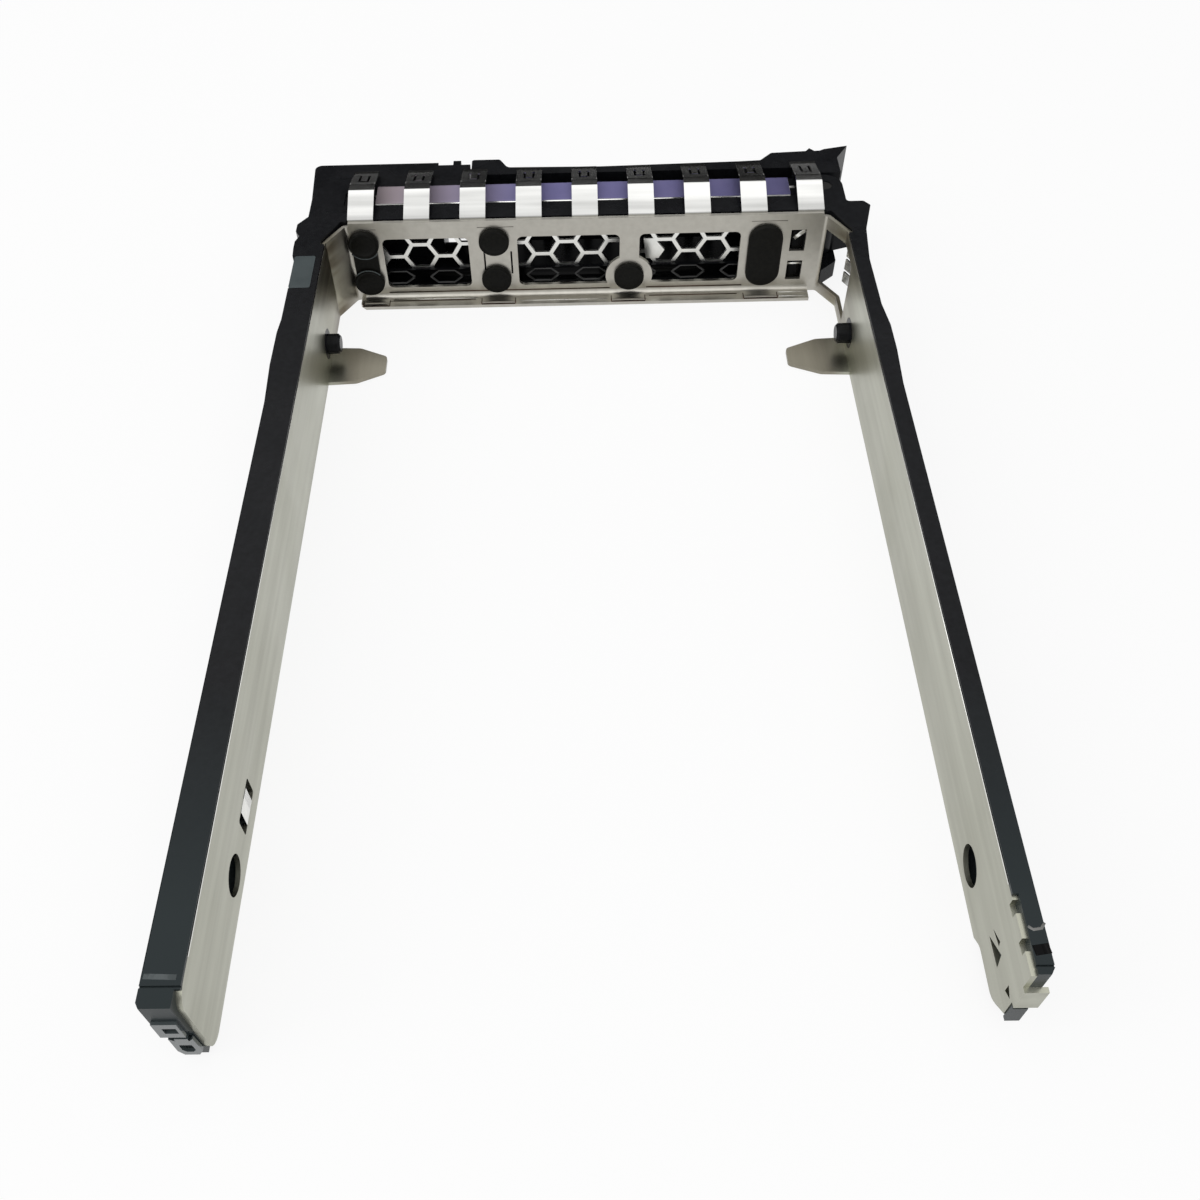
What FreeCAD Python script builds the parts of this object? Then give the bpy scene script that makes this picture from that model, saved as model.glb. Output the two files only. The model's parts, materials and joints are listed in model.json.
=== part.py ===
import FreeCAD, Part
import math
import os
import Sketcher

# Hot swap drive caddy for a 2.5 inch drive. Millimetres, +Z up. The origin is on the centre line, at the
# rear face of the cross plate and at the underside of the frame. The bezel is at +Y, the drive bay at -Y.

DOC = FreeCAD.newDocument("drive_caddy")
SHEET = DOC.addObject("Spreadsheet::Sheet", "Sizes")

LENGTHS = [
    # the drive and the bay
    ("drive_width", 69.85, "width of a 2.5 inch drive"),
    ("drive_side_gap", 0.175, "play between the drive and each arm"),
    ("hole_above_drive", 3.0, "side screw hole above the drive's base"),
    ("front_hole_back", 13.5, "front screw hole behind the plate"),
    ("hole_pitch", 76.6, "distance between the side screw holes"),
    ("screw_hole", 4.1, "diameter of a screw hole in an arm"),
    # the folded frame
    ("frame_gauge", 0.5, "sheet thickness of the frame"),
    ("frame_height", 13.0, "height of the plate"),
    ("arm_height", 12.5, "height of the arms and of the plate's ends"),
    ("plate_half", 32.8, "half width of the flat plate"),
    ("corner_back", 3.6, "how far the corner bend runs back"),
    ("left_arm_length", 105.5, "left arm behind the plate"),
    ("right_arm_length", 104.0, "right arm behind the plate"),
    ("flange_reach", 2.3, "bottom flange behind the plate"),
    ("flange_half", 31.6, "half length of the bottom flange"),
    ("tongue_reach", 7.6, "drive support reaching in from an arm"),
    ("tongue_root", 7.0, "width of a drive support at its root"),
    ("tongue_tip", 3.0, "width of a drive support at its tip"),
    ("tongue_back", 14.4, "middle of a drive support behind the plate"),
    ("window_low", 2.05, "lower edge of the air windows"),
    ("window_high", 10.3, "upper edge of the air windows"),
    ("window_round", 0.8, "corner radius of the air windows"),
    ("first_post", 4.7, "plate from its left edge to the first window"),
    ("first_window", 11.9, "width of the first air window"),
    ("second_post", 6.76, "post between first and second window"),
    ("second_window", 14.2, "width of the second air window"),
    ("stem_width", 2.72, "thin stem between second and third window"),
    ("third_window", 13.96, "width of the third air window"),
    ("edge_web", 2.4, "web outside the small windows"),
    ("small_window", 2.1, "width of a small window"),
    ("lobe_radius", 3.3, "round lobe on the thin stem"),
    ("corner_hole_low", 1.6, "lower edge of the open right corner"),
    ("corner_hole_high", 10.6, "upper edge of the open right corner"),
    ("corner_hole_back", 8.6, "rear edge of the open right corner"),
    # rubber bumpers
    ("bumper_width", 4.2, "diameter of a round bumper"),
    ("bumper_proud", 0.6, "how far a bumper stands off the plate"),
    ("bumper_stem", 1.6, "width of a bumper's square stem"),
    ("bumper_low", 3.35, "height of the lower bumpers"),
    ("bumper_top", 9.7, "height of the upper bumpers"),
    ("wide_bumper", 4.7, "width of the tall bumper"),
    ("wide_bumper_height", 10.1, "height of the tall bumper"),
    # grounding strip
    ("strip_gauge", 0.2, "sheet thickness of the spring strips"),
    ("finger_width", 3.52, "width of one grounding finger"),
    ("finger_pitch", 7.67, "distance between grounding fingers"),
    ("finger_count", 9, "number of grounding fingers"),
    ("strip_drop", 2.4, "depth of the clamped part of the strip"),
    ("crest_reach", 5.4, "crest of a finger in front of the plate"),
    ("crest_rise", 2.0, "crest of a finger above the plate"),
    ("tip_reach", 11.4, "tip of a finger in front of the plate"),
    ("tip_rise", 0.55, "tip of a finger above the plate"),
    ("slot_width", 1.5, "width of the slot in a finger"),
    ("side_band_low", 4.0, "underside of the side strip"),
    ("side_band_height", 5.9, "height of the side strip"),
    ("side_band_end", 16.0, "rear end of the side strip behind the plate"),
    ("side_finger_height", 1.7, "height of one side finger"),
    ("side_finger_pitch", 2.1, "distance between the side fingers"),
    ("side_finger_count", 3, "number of side fingers"),
    # honeycomb shield
    ("shield_gauge", 0.4, "sheet thickness of the shield"),
    ("shield_at", 2.9, "rear face of the honeycomb in front of the plate"),
    ("shield_high", 11.35, "top of the shield's upright panel"),
    ("riser_at", 6.5, "rear face of the riser under the cap"),
    ("shield_half", 29.2, "half width of the honeycomb"),
    ("cell_pitch", 3.99, "distance between honeycomb cells"),
    ("cell_level", 3.2, "middle of the lowest whole row of cells"),
    ("first_cell", 26.815, "first column of cells, left of the middle"),
    ("cell_web", 0.55, "metal between honeycomb cells"),
    ("cap_back", 4.5, "rear edge of the shield's cap"),
    ("cap_front", 8.5, "front edge of the shield's cap"),
    # bezel
    ("bezel_low", 0.3, "underside of the bezel"),
    ("bezel_wall", 1.7, "floor of the bezel"),
    ("bezel_half", 38.5, "half width of the bezel"),
    ("bezel_front", 14.2, "front face of the left pillar"),
    ("pillar_right", 20.4, "right side of the left pillar, left of the middle"),
    ("pillar_back", 7.3, "rear face of the left pillar"),
    ("side_arm_back", 17.5, "rear end of the bezel's side arms"),
    ("floor_front", 10.4, "front edge of the bezel's floor"),
    ("strap_thick", 2.6, "thickness of the straps that hold the pivot"),
    ("right_side", 36.8, "outer face of the right runner"),
    ("shoulder_side", 38.9, "corner of the right shoulder"),
    ("pivot_side", 33.3, "pivot to the right of the middle"),
    ("pivot_front", 6.6, "pivot in front of the plate"),
    ("lug_radius", 2.5, "radius of the pivot's lugs"),
    ("pin_width", 2.0, "diameter of the pivot pin"),
    # handle and latch
    ("handle_face", 12.6, "front face of the handle's middle"),
    ("handle_wall", 1.6, "thickness of the handle's wall"),
    ("handle_left", 16.0, "left end of the handle, left of the middle"),
    ("handle_right", 37.8, "right end of the handle"),
    ("handle_step", 25.2, "where the handle thickens towards its hinge"),
    ("handle_nose", 15.4, "front of the handle above its hinge"),
    ("vent_count", 11, "air slots in the handle"),
    ("vent_pitch", 3.0, "distance between the handle's air slots"),
    ("vent_width", 1.7, "width of an air slot"),
    ("prong_reach", 3.2, "latch prong behind the handle's wall"),
    ("ridge_front", 14.9, "front of the slide's grip ridge"),
    ("groove_pitch", 1.3, "distance between the grooves of the thumb pad"),
    ("slide_play", 0.15, "running gap round the slide"),
    # runners and light pipes
    ("left_side", 38.6, "outer face of the left runner"),
    ("runner_top", 12.9, "top of the runners"),
    ("runner_overhang", 0.5, "left runner beyond the end of its arm"),
    ("pipe_width", 1.2, "width of a light pipe"),
    ("pipe_height", 1.6, "height of a light pipe"),
    ("pipe_low", 3.6, "underside of the lower light pipe"),
    ("pipe_step", 2.4, "distance between the light pipes"),
    ("fit_gap", 0.05, "gap round fitted pieces"),
    # drive pins and springs
    ("drive_pin", 2.7, "diameter of a drive pin"),
    ("drive_pin_reach", 1.8, "how far a drive pin stands into the bay"),
    ("drive_pin_head", 5.4, "diameter of a drive pin's head"),
    ("spring_wire", 0.4, "wire of the two coil springs"),
]


class Size:
    """A number that also carries its formula in terms of the sheet."""

    def __init__(self, formula, value):
        self.formula = formula
        self.value = value

    def __add__(self, other):
        return joined(self, "+", other, self.value + value_of(other))

    def __radd__(self, other):
        return joined(other, "+", self, value_of(other) + self.value)

    def __sub__(self, other):
        return joined(self, "-", other, self.value - value_of(other))

    def __rsub__(self, other):
        return joined(other, "-", self, value_of(other) - self.value)

    def __mul__(self, other):
        return joined(self, "*", other, self.value * value_of(other))

    def __rmul__(self, other):
        return joined(other, "*", self, value_of(other) * self.value)

    def __truediv__(self, other):
        return joined(self, "/", other, self.value / value_of(other))

    def __neg__(self):
        return Size("(-1 * %s)" % self.formula, -self.value)


def value_of(number):
    """The plain number behind a size."""
    return number.value if isinstance(number, Size) else number


def formula_of(number):
    """The formula behind a size, or the number itself as text."""
    return number.formula if isinstance(number, Size) else "(%.6f)" % number


def joined(first, sign, second, value):
    """Two sizes put together with one arithmetic sign."""
    return Size("(%s %s %s)" % (formula_of(first), sign, formula_of(second)), value)


def root(square):
    """The square root of a size."""
    return Size("sqrt(%s)" % square.formula, math.sqrt(square.value))


def fill_sheet():
    """Write the driving dimensions into the sheet and give each its alias."""
    sizes = {}
    for row, (alias, number, meaning) in enumerate(LENGTHS, start=1):
        SHEET.set("A%d" % row, alias)
        SHEET.set("B%d" % row, str(number))
        SHEET.set("C%d" % row, meaning)
        SHEET.setAlias("B%d" % row, alias)
        sizes[alias] = Size("Sizes.%s" % alias, float(number))
    DOC.recompute()
    return sizes


S = fill_sheet()

ARM_INNER = S["drive_width"] / 2 + S["drive_side_gap"]
GAUGE = S["frame_gauge"]
ARM_OUTER = ARM_INNER + GAUGE
HEIGHT = S["frame_height"]
HOLE_HEIGHT = GAUGE + S["hole_above_drive"]
FRONT_HOLE = -S["front_hole_back"]
REAR_HOLE = FRONT_HOLE - S["hole_pitch"]
PLATE_FRONT = GAUGE
STRIP_FRONT = PLATE_FRONT + S["strip_gauge"]

WINDOW_ONE = -S["plate_half"] + S["first_post"]
WINDOW_TWO = WINDOW_ONE + S["first_window"] + S["second_post"]
WINDOW_THREE = WINDOW_TWO + S["second_window"] + S["stem_width"]
WINDOW_END = WINDOW_THREE + S["third_window"]
SMALL_RIGHT = S["plate_half"] - S["edge_web"]
SMALL_LEFT = SMALL_RIGHT - S["small_window"]
LEFT_BUMPER = -S["plate_half"] + S["bumper_width"] / 2 + 0.05
MID_BUMPER = WINDOW_TWO - S["second_post"] / 2 + 0.2
STEM_MIDDLE = WINDOW_THREE - S["stem_width"] / 2
RIGHT_BUMPER = (WINDOW_END + SMALL_LEFT) / 2

PIVOT_X = S["pivot_side"]
PIVOT_Y = S["pivot_front"]
TOP_STRAP = HEIGHT - 0.1 - S["strap_thick"]
LOW_STRAP = S["bezel_low"] + S["strap_thick"]
HUB_LOW = LOW_STRAP + 0.2
HUB_TOP = HUB_LOW + 4.2

PIPE_LEFT = -S["left_side"] + 1.2
PIPE_RIGHT = PIPE_LEFT + S["pipe_width"]
UPPER_PIPE = S["pipe_low"] + S["pipe_step"]

SLIDE_LOW = 4.0
SLIDE_HIGH = 9.5
LATCH_LOW = 5.0
LATCH_HIGH = 8.5


def new_body(label):
    """An empty body with its own label."""
    body = DOC.addObject("PartDesign::Body", label)
    body.Label = label
    return body


def origin_feature(body, role):
    """One of the body's own origin planes or axes."""
    return [item for item in body.Origin.OriginFeatures if item.Role == role][0]


def new_sketch(body, plane, level, across=0, up=0):
    """A sketch on a plane of the body, at a level along that plane's axis of the frame."""
    sketch = body.newObject("Sketcher::SketchObject", body.Label + "_sketch")
    sketch.AttachmentSupport = (origin_feature(body, plane + "_Plane"), [""])
    sketch.MapMode = "FlatFace"
    depth = -level if plane == "XZ" else level
    for letter, amount in (("x", across), ("y", up), ("z", depth)):
        if isinstance(amount, Size) or amount:
            sketch.setExpression(".AttachmentOffset.Base." + letter, formula_of(amount))
            place_offset(sketch, letter, value_of(amount))
    return sketch


def place_offset(sketch, letter, amount):
    """Place the sketch at once, so that its first solve is at the right spot."""
    offset = sketch.AttachmentOffset
    base = offset.Base
    moved = {"x": base.x, "y": base.y, "z": base.z}
    moved[letter] = amount
    offset.Base = FreeCAD.Vector(moved["x"], moved["y"], moved["z"])
    sketch.AttachmentOffset = offset


def bind(sketch, kind, places, number):
    """Add a dimension to the sketch and tie it to the sheet."""
    index = sketch.addConstraint(Sketcher.Constraint(kind, *places, value_of(number)))
    if isinstance(number, Size):
        sketch.setExpression("Constraints[%d]" % index, number.formula)


def pin_point(sketch, geometry, end, across, up):
    """Hold one point of the sketch at a place measured from the sketch's origin."""
    bind(sketch, "DistanceX", (-1, 1, geometry, end), across)
    bind(sketch, "DistanceY", (-1, 1, geometry, end), up)


def trimmed(corner, towards, length):
    """The point a given length from a corner along one of its sides."""
    side = towards - corner
    return corner + side * (length / side.Length)


def arc_between(corner, start, end):
    """The arc that leaves one side of a corner at start and joins the other at end."""
    middle = (start + end) * 0.5
    half = (start - middle).Length
    reach = (corner - middle).Length
    slant = (start - corner).Length
    radius = half * slant / reach
    away = (middle - corner) * (1.0 / reach)
    centre = corner + away * (slant * slant / reach)
    return Part.Arc(start, centre - away * radius, end)


def outline(sketch, corners):
    """A closed outline. A corner is (x, y) or (x, y, radius), and each one is tied to the sheet."""
    count = len(corners)
    points = [FreeCAD.Vector(value_of(c[0]), value_of(c[1]), 0) for c in corners]
    starts, ends = [], []
    for index, corner in enumerate(corners):
        here = points[index]
        before = points[index - 1]
        after = points[(index + 1) % count]
        if len(corner) == 3:
            turn = (before - here).getAngle(after - here)
            length = value_of(corner[2]) / math.tan(turn / 2)
            starts.append(trimmed(here, after, length))
            ends.append(trimmed(here, before, length))
        else:
            starts.append(here)
            ends.append(here)
    lines = []
    for index in range(count):
        after = (index + 1) % count
        lines.append(sketch.addGeometry(Part.LineSegment(starts[index], ends[after]), False))
    for index, corner in enumerate(corners):
        before, after = lines[index - 1], lines[index]
        if len(corner) == 3:
            arc = sketch.addGeometry(arc_between(points[index], ends[index], starts[index]), False)
            first, last = arc_ends(sketch, arc, ends[index])
            sketch.addConstraint(Sketcher.Constraint("Tangent", before, 2, arc, first))
            sketch.addConstraint(Sketcher.Constraint("Tangent", after, 1, arc, last))
            bind(sketch, "Radius", (arc,), corner[2])
            spot = sketch.addGeometry(Part.Point(points[index]), True)
            sketch.addConstraint(Sketcher.Constraint("PointOnObject", spot, 1, before))
            sketch.addConstraint(Sketcher.Constraint("PointOnObject", spot, 1, after))
            pin_point(sketch, spot, 1, corner[0], corner[1])
        else:
            sketch.addConstraint(Sketcher.Constraint("Coincident", before, 2, after, 1))
            pin_point(sketch, after, 1, corner[0], corner[1])


def arc_ends(sketch, arc, start):
    """Which end of the arc lies at the given start, and which is the other."""
    first = sketch.getPoint(arc, 1)
    return (1, 2) if (first - start).Length < 1e-6 else (2, 1)


def disc(sketch, across, up, width):
    """A circle of the given diameter."""
    place = FreeCAD.Vector(value_of(across), value_of(up), 0)
    circle = sketch.addGeometry(Part.Circle(place, FreeCAD.Vector(0, 0, 1), value_of(width) / 2), False)
    pin_point(sketch, circle, 3, across, up)
    bind(sketch, "Diameter", (circle,), width)


def box_corners(left, right, low, high, radius=None):
    """The four corners of a rectangle, rounded or not."""
    corners = [(left, low), (right, low), (right, high), (left, high)]
    return [corner + (radius,) for corner in corners] if radius else corners


def drawn(body, plane, level, shapes):
    """A sketch with any number of outlines and circles."""
    sketch = new_sketch(body, plane, level)
    for shape in shapes:
        if shape[0] == "disc":
            disc(sketch, *shape[1:])
        else:
            outline(sketch, shape)
    return sketch


def add(body, plane, level, shapes, length):
    """Material that grows from the level along the plane's own axis of the frame."""
    pad = body.newObject("PartDesign::Pad", body.Label + "_pad")
    pad.Profile = drawn(body, plane, level, shapes)
    pad.Length = value_of(length)
    if isinstance(length, Size):
        pad.setExpression("Length", length.formula)
    pad.Reversed = plane == "XZ"
    return settle(pad)


def cut(body, plane, level, shapes, length):
    """Material taken away from the level along the plane's own axis of the frame."""
    before = body.Shape.Volume
    pocket = body.newObject("PartDesign::Pocket", body.Label + "_pocket")
    pocket.Profile = drawn(body, plane, level, shapes)
    pocket.Length = value_of(length)
    if isinstance(length, Size):
        pocket.setExpression("Length", length.formula)
    pocket.Reversed = plane != "XZ"
    settle(pocket)
    if not body.Shape.Volume < before - 1e-6:
        raise RuntimeError("%s cuts nothing" % pocket.Name)
    return pocket


def settle(feature):
    """Recompute and stop at once if the feature failed."""
    DOC.recompute()
    if "Invalid" in feature.State or "Error" in feature.State or feature.Shape.isNull():
        raise RuntimeError("%s failed: %s" % (feature.Name, feature.State))
    return feature


def in_row(body, feature, axis, pitch, count):
    """The feature repeated along an axis of the body."""
    pattern = body.newObject("PartDesign::LinearPattern", body.Label + "_row")
    pattern.Originals = [feature]
    pattern.Direction = (origin_feature(body, axis + "_Axis"), [""])
    pattern.Length = value_of(pitch * (count - 1))
    pattern.setExpression("Length", (pitch * (count - 1)).formula)
    pattern.Occurrences = int(value_of(count))
    if isinstance(count, Size):
        pattern.setExpression("Occurrences", count.formula)
    body.Tip = pattern
    return settle(pattern)


def soften(body, radius, wanted):
    """Round the edges of the body's tip that the test picks."""
    tip = body.Tip
    names = ["Edge%d" % (n + 1) for n, edge in enumerate(tip.Shape.Edges) if wanted(edge)]
    fillet = body.newObject("PartDesign::Fillet", body.Label + "_fillet")
    fillet.Base = (tip, names)
    fillet.Radius = value_of(radius)
    if isinstance(radius, Size):
        fillet.setExpression("Radius", radius.formula)
    return settle(fillet)


def bevel(body, size, wanted):
    """Chamfer the edges of the body's tip that the test picks."""
    tip = body.Tip
    names = ["Edge%d" % (n + 1) for n, edge in enumerate(tip.Shape.Edges) if wanted(edge)]
    chamfer = body.newObject("PartDesign::Chamfer", body.Label + "_chamfer")
    chamfer.Base = (tip, names)
    chamfer.Size = value_of(size)
    if isinstance(size, Size):
        chamfer.setExpression("Size", size.formula)
    return settle(chamfer)


def inner_frame():
    """One folded stainless sheet: cross plate, two arms, bottom flange and two drive supports."""
    body = new_body("inner_frame")
    run = ARM_INNER - S["plate_half"]
    back = S["corner_back"]
    slant = root(run * run + back * back)
    plate_turn = (slant - run) / back * GAUGE
    arm_turn = (slant - back) / run * GAUGE
    half = S["plate_half"]
    bend = 0.5
    outer = GAUGE + bend
    wall = [
        (-ARM_INNER, -S["left_arm_length"]),
        (-ARM_INNER, -back, bend),
        (-half, 0, bend),
        (half, 0, bend),
        (ARM_INNER, -back, bend),
        (ARM_INNER, -S["right_arm_length"]),
        (ARM_OUTER, -S["right_arm_length"]),
        (ARM_OUTER, -back + arm_turn, outer),
        (half + plate_turn, GAUGE, outer),
        (-half - plate_turn, GAUGE, outer),
        (-ARM_OUTER, -back + arm_turn, outer),
        (-ARM_OUTER, -S["left_arm_length"]),
    ]
    add(body, "XY", 0, [wall], HEIGHT)
    windows = [
        box_corners(WINDOW_ONE, WINDOW_ONE + S["first_window"], S["window_low"], S["window_high"],
                    S["window_round"]),
        box_corners(WINDOW_TWO, WINDOW_TWO + S["second_window"], S["window_low"], S["window_high"],
                    S["window_round"]),
        box_corners(WINDOW_THREE, WINDOW_END, S["window_low"], S["window_high"], S["window_round"]),
        box_corners(SMALL_LEFT, SMALL_RIGHT, S["window_low"], S["window_low"] + 3.2),
        box_corners(SMALL_LEFT, SMALL_RIGHT, S["window_high"] - 3.4, S["window_high"] + 0.1),
    ]
    cut(body, "XZ", -1, windows, 3)
    slits = [
        box_corners(MID_BUMPER - 1.6, MID_BUMPER - 1.35, 4.1, 7.9),
        box_corners(MID_BUMPER + 2.15, MID_BUMPER + 2.4, 4.1, 7.9),
    ]
    cut(body, "XZ", -1, slits, 3)
    lobe = ("disc", STEM_MIDDLE, S["bumper_low"], S["lobe_radius"] * 2)
    add(body, "XZ", 0, [lobe], GAUGE)
    stems = [stem(across, up, 0.05) for across, up in bumper_spots()]
    cut(body, "XZ", -1, stems, 3)
    corner = box_corners(half + 0.2, ARM_OUTER + 1, -S["corner_hole_back"], GAUGE + 1)
    cut(body, "XY", S["corner_hole_low"], [corner], S["corner_hole_high"] - S["corner_hole_low"])
    bottom_flange(body)
    for side in (-1, 1):
        tip = (ARM_INNER - S["tongue_reach"]) * side - 0.2 - 0.2 * side
        belly = (ARM_INNER - S["tongue_reach"] * 0.5) * side
        middle = -S["tongue_back"]
        tongue = [
            (ARM_OUTER * side, middle - S["tongue_root"] / 2),
            (ARM_INNER * side, middle - S["tongue_root"] / 2),
            (belly, middle - S["tongue_root"] / 2 + 0.2, 1.5),
            (tip, middle - S["tongue_tip"] / 2, 0.7),
            (tip, middle + S["tongue_tip"] / 2, 0.7),
            (belly, middle + S["tongue_root"] / 2 - 0.2, 1.5),
            (ARM_INNER * side, middle + S["tongue_root"] / 2),
            (ARM_OUTER * side, middle + S["tongue_root"] / 2),
        ]
        add(body, "XY", 0, [tongue], GAUGE)
    holes = [("disc", place, HOLE_HEIGHT, S["screw_hole"]) for place in (FRONT_HOLE, REAR_HOLE)]
    cut(body, "YZ", -ARM_OUTER - 1, holes, ARM_OUTER * 2 + 2)
    arm_ends(body)
    return body


def bottom_flange(body):
    """The flange at the plate's foot, with a slot behind each lower bumper and a curved bend."""
    reach = -S["flange_reach"]
    half = S["flange_half"]
    flange = [(-half - 0.6, -1.6), (-half + 0.1, reach), (half, reach), (half, GAUGE), (-half - 0.6, GAUGE)]
    add(body, "XY", 0, [flange], GAUGE)
    bend = [(0.1, GAUGE - 0.1), (-0.75, GAUGE - 0.1), (-0.75, GAUGE), (0, GAUGE, 0.65), (0, GAUGE + 0.75),
            (0.1, GAUGE + 0.75)]
    add(body, "YZ", -half, [bend], half * 2)
    slots = [box_corners(LEFT_BUMPER - 1.1, LEFT_BUMPER + 2.1, -1.65, -1.35)]
    for place in (MID_BUMPER, STEM_MIDDLE, RIGHT_BUMPER):
        slots.append(box_corners(place - 2.5, place + 2.5, -1.95, -1.6))
    slots.append(box_corners(WINDOW_ONE, WINDOW_ONE + S["first_window"] - 0.3, -1.25, -1.05))
    cut(body, "XY", -1, slots, 3)


def arm_ends(body):
    """The arms' lower top edge, the lance on the left and the hooked end on the right."""
    left_end = -S["left_arm_length"]
    right_end = -S["right_arm_length"]
    inside = S["plate_half"] - 0.4
    tops = [
        box_corners(-ARM_OUTER - 1, -inside, left_end - 1, GAUGE + 1),
        box_corners(inside, ARM_OUTER + 1, right_end - 1, GAUGE + 1),
    ]
    cut(body, "XY", S["arm_height"], tops, 2)
    lance = [box_corners(left_end + 20.2, left_end + 25.1, 2.2, 5.1, 0.3)]
    cut(body, "YZ", -ARM_OUTER - 1, lance, 2)
    rear_cuts = [
        [(right_end - 1, -1), (right_end + 9.4, -1), (right_end + 7.0, 1.15, 1.4),
         (right_end + 2.2, 1.05, 1.8), (right_end - 0.3, 3.9), (right_end - 1, 3.9)],
        [(right_end + 6.65, 4.5), (right_end + 4.1, 6.5), (right_end + 3.65, 4.6)],
        [(right_end + 6.7, 6.0), (right_end + 5.1, 7.0), (right_end + 4.9, 6.4)],
        [(right_end + 0.4, 6.0), (right_end + 1.4, 5.3), (right_end + 1.4, 6.6)],
        box_corners(right_end + 5.4, right_end + 6.6, S["arm_height"] - 1.0, HEIGHT),
        box_corners(right_end + 2.1, right_end + 3.2, S["arm_height"] - 1.0, HEIGHT),
    ]
    cut(body, "YZ", ARM_INNER - 1, rear_cuts, 3)
    wrap = box_corners(ARM_INNER, S["right_side"] + 0.4, right_end - GAUGE, right_end)
    add(body, "XY", 6.4, [wrap], 3.6)
    tips = [(left_end.value, 0), (left_end.value, S["arm_height"].value)]
    soften(body, 2.0, lambda edge: at_arm_end(edge, tips))


def at_arm_end(edge, tips):
    """True for the short edges across the sheet at the arms' rear corners."""
    box = edge.BoundBox
    if box.XLength < GAUGE.value * 0.9 or box.YLength > 1e-6 or box.ZLength > 1e-6:
        return False
    return any(abs(box.YMin - place) < 1e-6 and abs(box.ZMin - up) < 1e-6 for place, up in tips)


def bumper_spots():
    """Where the bumpers' stems pass through the plate."""
    return [
        (LEFT_BUMPER, S["bumper_low"]),
        (LEFT_BUMPER, S["bumper_top"]),
        (MID_BUMPER, S["bumper_low"]),
        (MID_BUMPER, S["bumper_top"]),
        (STEM_MIDDLE, S["bumper_low"]),
        (RIGHT_BUMPER, S["bumper_low"]),
        (RIGHT_BUMPER, S["bumper_top"]),
    ]


def stem(across, up, gap):
    """The square section of a bumper's stem, or of its hole."""
    half = S["bumper_stem"] / 2 + gap
    return box_corners(across - half, across + half, up - half, up + half)


def bumper(label, across, heights, joined_pad=None):
    """A rubber bumper: round heads on the bay side of the plate, each on a stem through the plate."""
    body = new_body(label)
    proud = S["bumper_proud"]
    if joined_pad:
        add(body, "XZ", -proud * 0.55, [joined_pad], proud * 0.55)
    for up in heights:
        add(body, "XZ", -proud, [("disc", across, up, S["bumper_width"])], proud)
        add(body, "XZ", 0, [stem(across, up, 0)], GAUGE)
    rim = -proud.value
    bevel(body, proud * 0.35, lambda edge: edge.BoundBox.YMax < rim + 1e-6)
    return body


def tall_bumper(label):
    """The upright stadium-shaped bumper beside the small windows."""
    body = new_body(label)
    proud = S["bumper_proud"]
    half = S["wide_bumper"] / 2
    tall = S["wide_bumper_height"] / 2
    middle = (S["bumper_low"] + S["bumper_top"]) / 2 - 0.15
    stadium = box_corners(RIGHT_BUMPER - half, RIGHT_BUMPER + half, middle - tall, middle + tall, half - 0.02)
    add(body, "XZ", -proud, [stadium], proud)
    for up in (S["bumper_low"], S["bumper_top"]):
        add(body, "XZ", 0, [stem(RIGHT_BUMPER, up, 0)], GAUGE)
    rim = -proud.value
    bevel(body, proud * 0.35, lambda edge: edge.BoundBox.YMax < rim + 1e-6)
    return body


def bumpers():
    """All five bumpers."""
    low, top = S["bumper_low"], S["bumper_top"]
    half = S["bumper_width"] / 2
    web = box_corners(LEFT_BUMPER - half + 0.4, LEFT_BUMPER + half - 0.4, low, top)
    return [
        bumper("bumper_left", LEFT_BUMPER, (low, top), web),
        bumper("bumper_mid_lower", MID_BUMPER, (low,)),
        bumper("bumper_mid_upper", MID_BUMPER, (top,)),
        bumper("bumper_centre", STEM_MIDDLE, (low,)),
        tall_bumper("bumper_right"),
    ]


def emi_finger_strip():
    """The grounding strip: a clamped band with a row of sprung fingers arching over the bezel."""
    body = new_body("emi_finger_strip")
    gauge = S["strip_gauge"]
    count = S["finger_count"]
    half = (S["finger_pitch"] * (count - 1) + S["finger_width"]) / 2
    low = HEIGHT - S["strip_drop"]
    band = box_corners(PLATE_FRONT, STRIP_FRONT, low, HEIGHT - 0.2)
    add(body, "YZ", -half, [band], half * 2)
    crest = HEIGHT + S["crest_rise"]
    tip = HEIGHT + S["tip_rise"]
    arch = [
        (PLATE_FRONT, HEIGHT - 0.6),
        (STRIP_FRONT, HEIGHT - 0.6),
        (STRIP_FRONT, HEIGHT + 0.1),
        (S["crest_reach"] - 0.7, crest - gauge, 0.8),
        (S["crest_reach"] + 0.7, crest - gauge, 0.8),
        (S["tip_reach"] - 0.8, tip),
        (S["tip_reach"], tip - 0.15),
        (S["tip_reach"], tip - 0.15 + gauge),
        (S["tip_reach"] - 0.8, tip + gauge),
        (S["crest_reach"] + 0.7, crest, 1.0),
        (S["crest_reach"] - 0.7, crest, 1.0),
        (PLATE_FRONT, HEIGHT + 0.1 + gauge, 0.3),
    ]
    finger = add(body, "YZ", -half, [arch], S["finger_width"])
    in_row(body, finger, "X", S["finger_pitch"], count)
    left = -half + (S["finger_width"] - S["slot_width"]) / 2
    right = left + S["slot_width"]
    near = S["crest_reach"] + 1.9
    far = near + 2.4
    slit = 0.3
    lance = [(left, near), (right, near), (right, far), (right - slit, far), (right - slit, near + slit),
             (left + slit, near + slit), (left + slit, far), (left, far)]
    slot = cut(body, "XY", HEIGHT + 0.2, [lance], 3)
    in_row(body, slot, "X", S["finger_pitch"], count)
    return body


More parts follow.
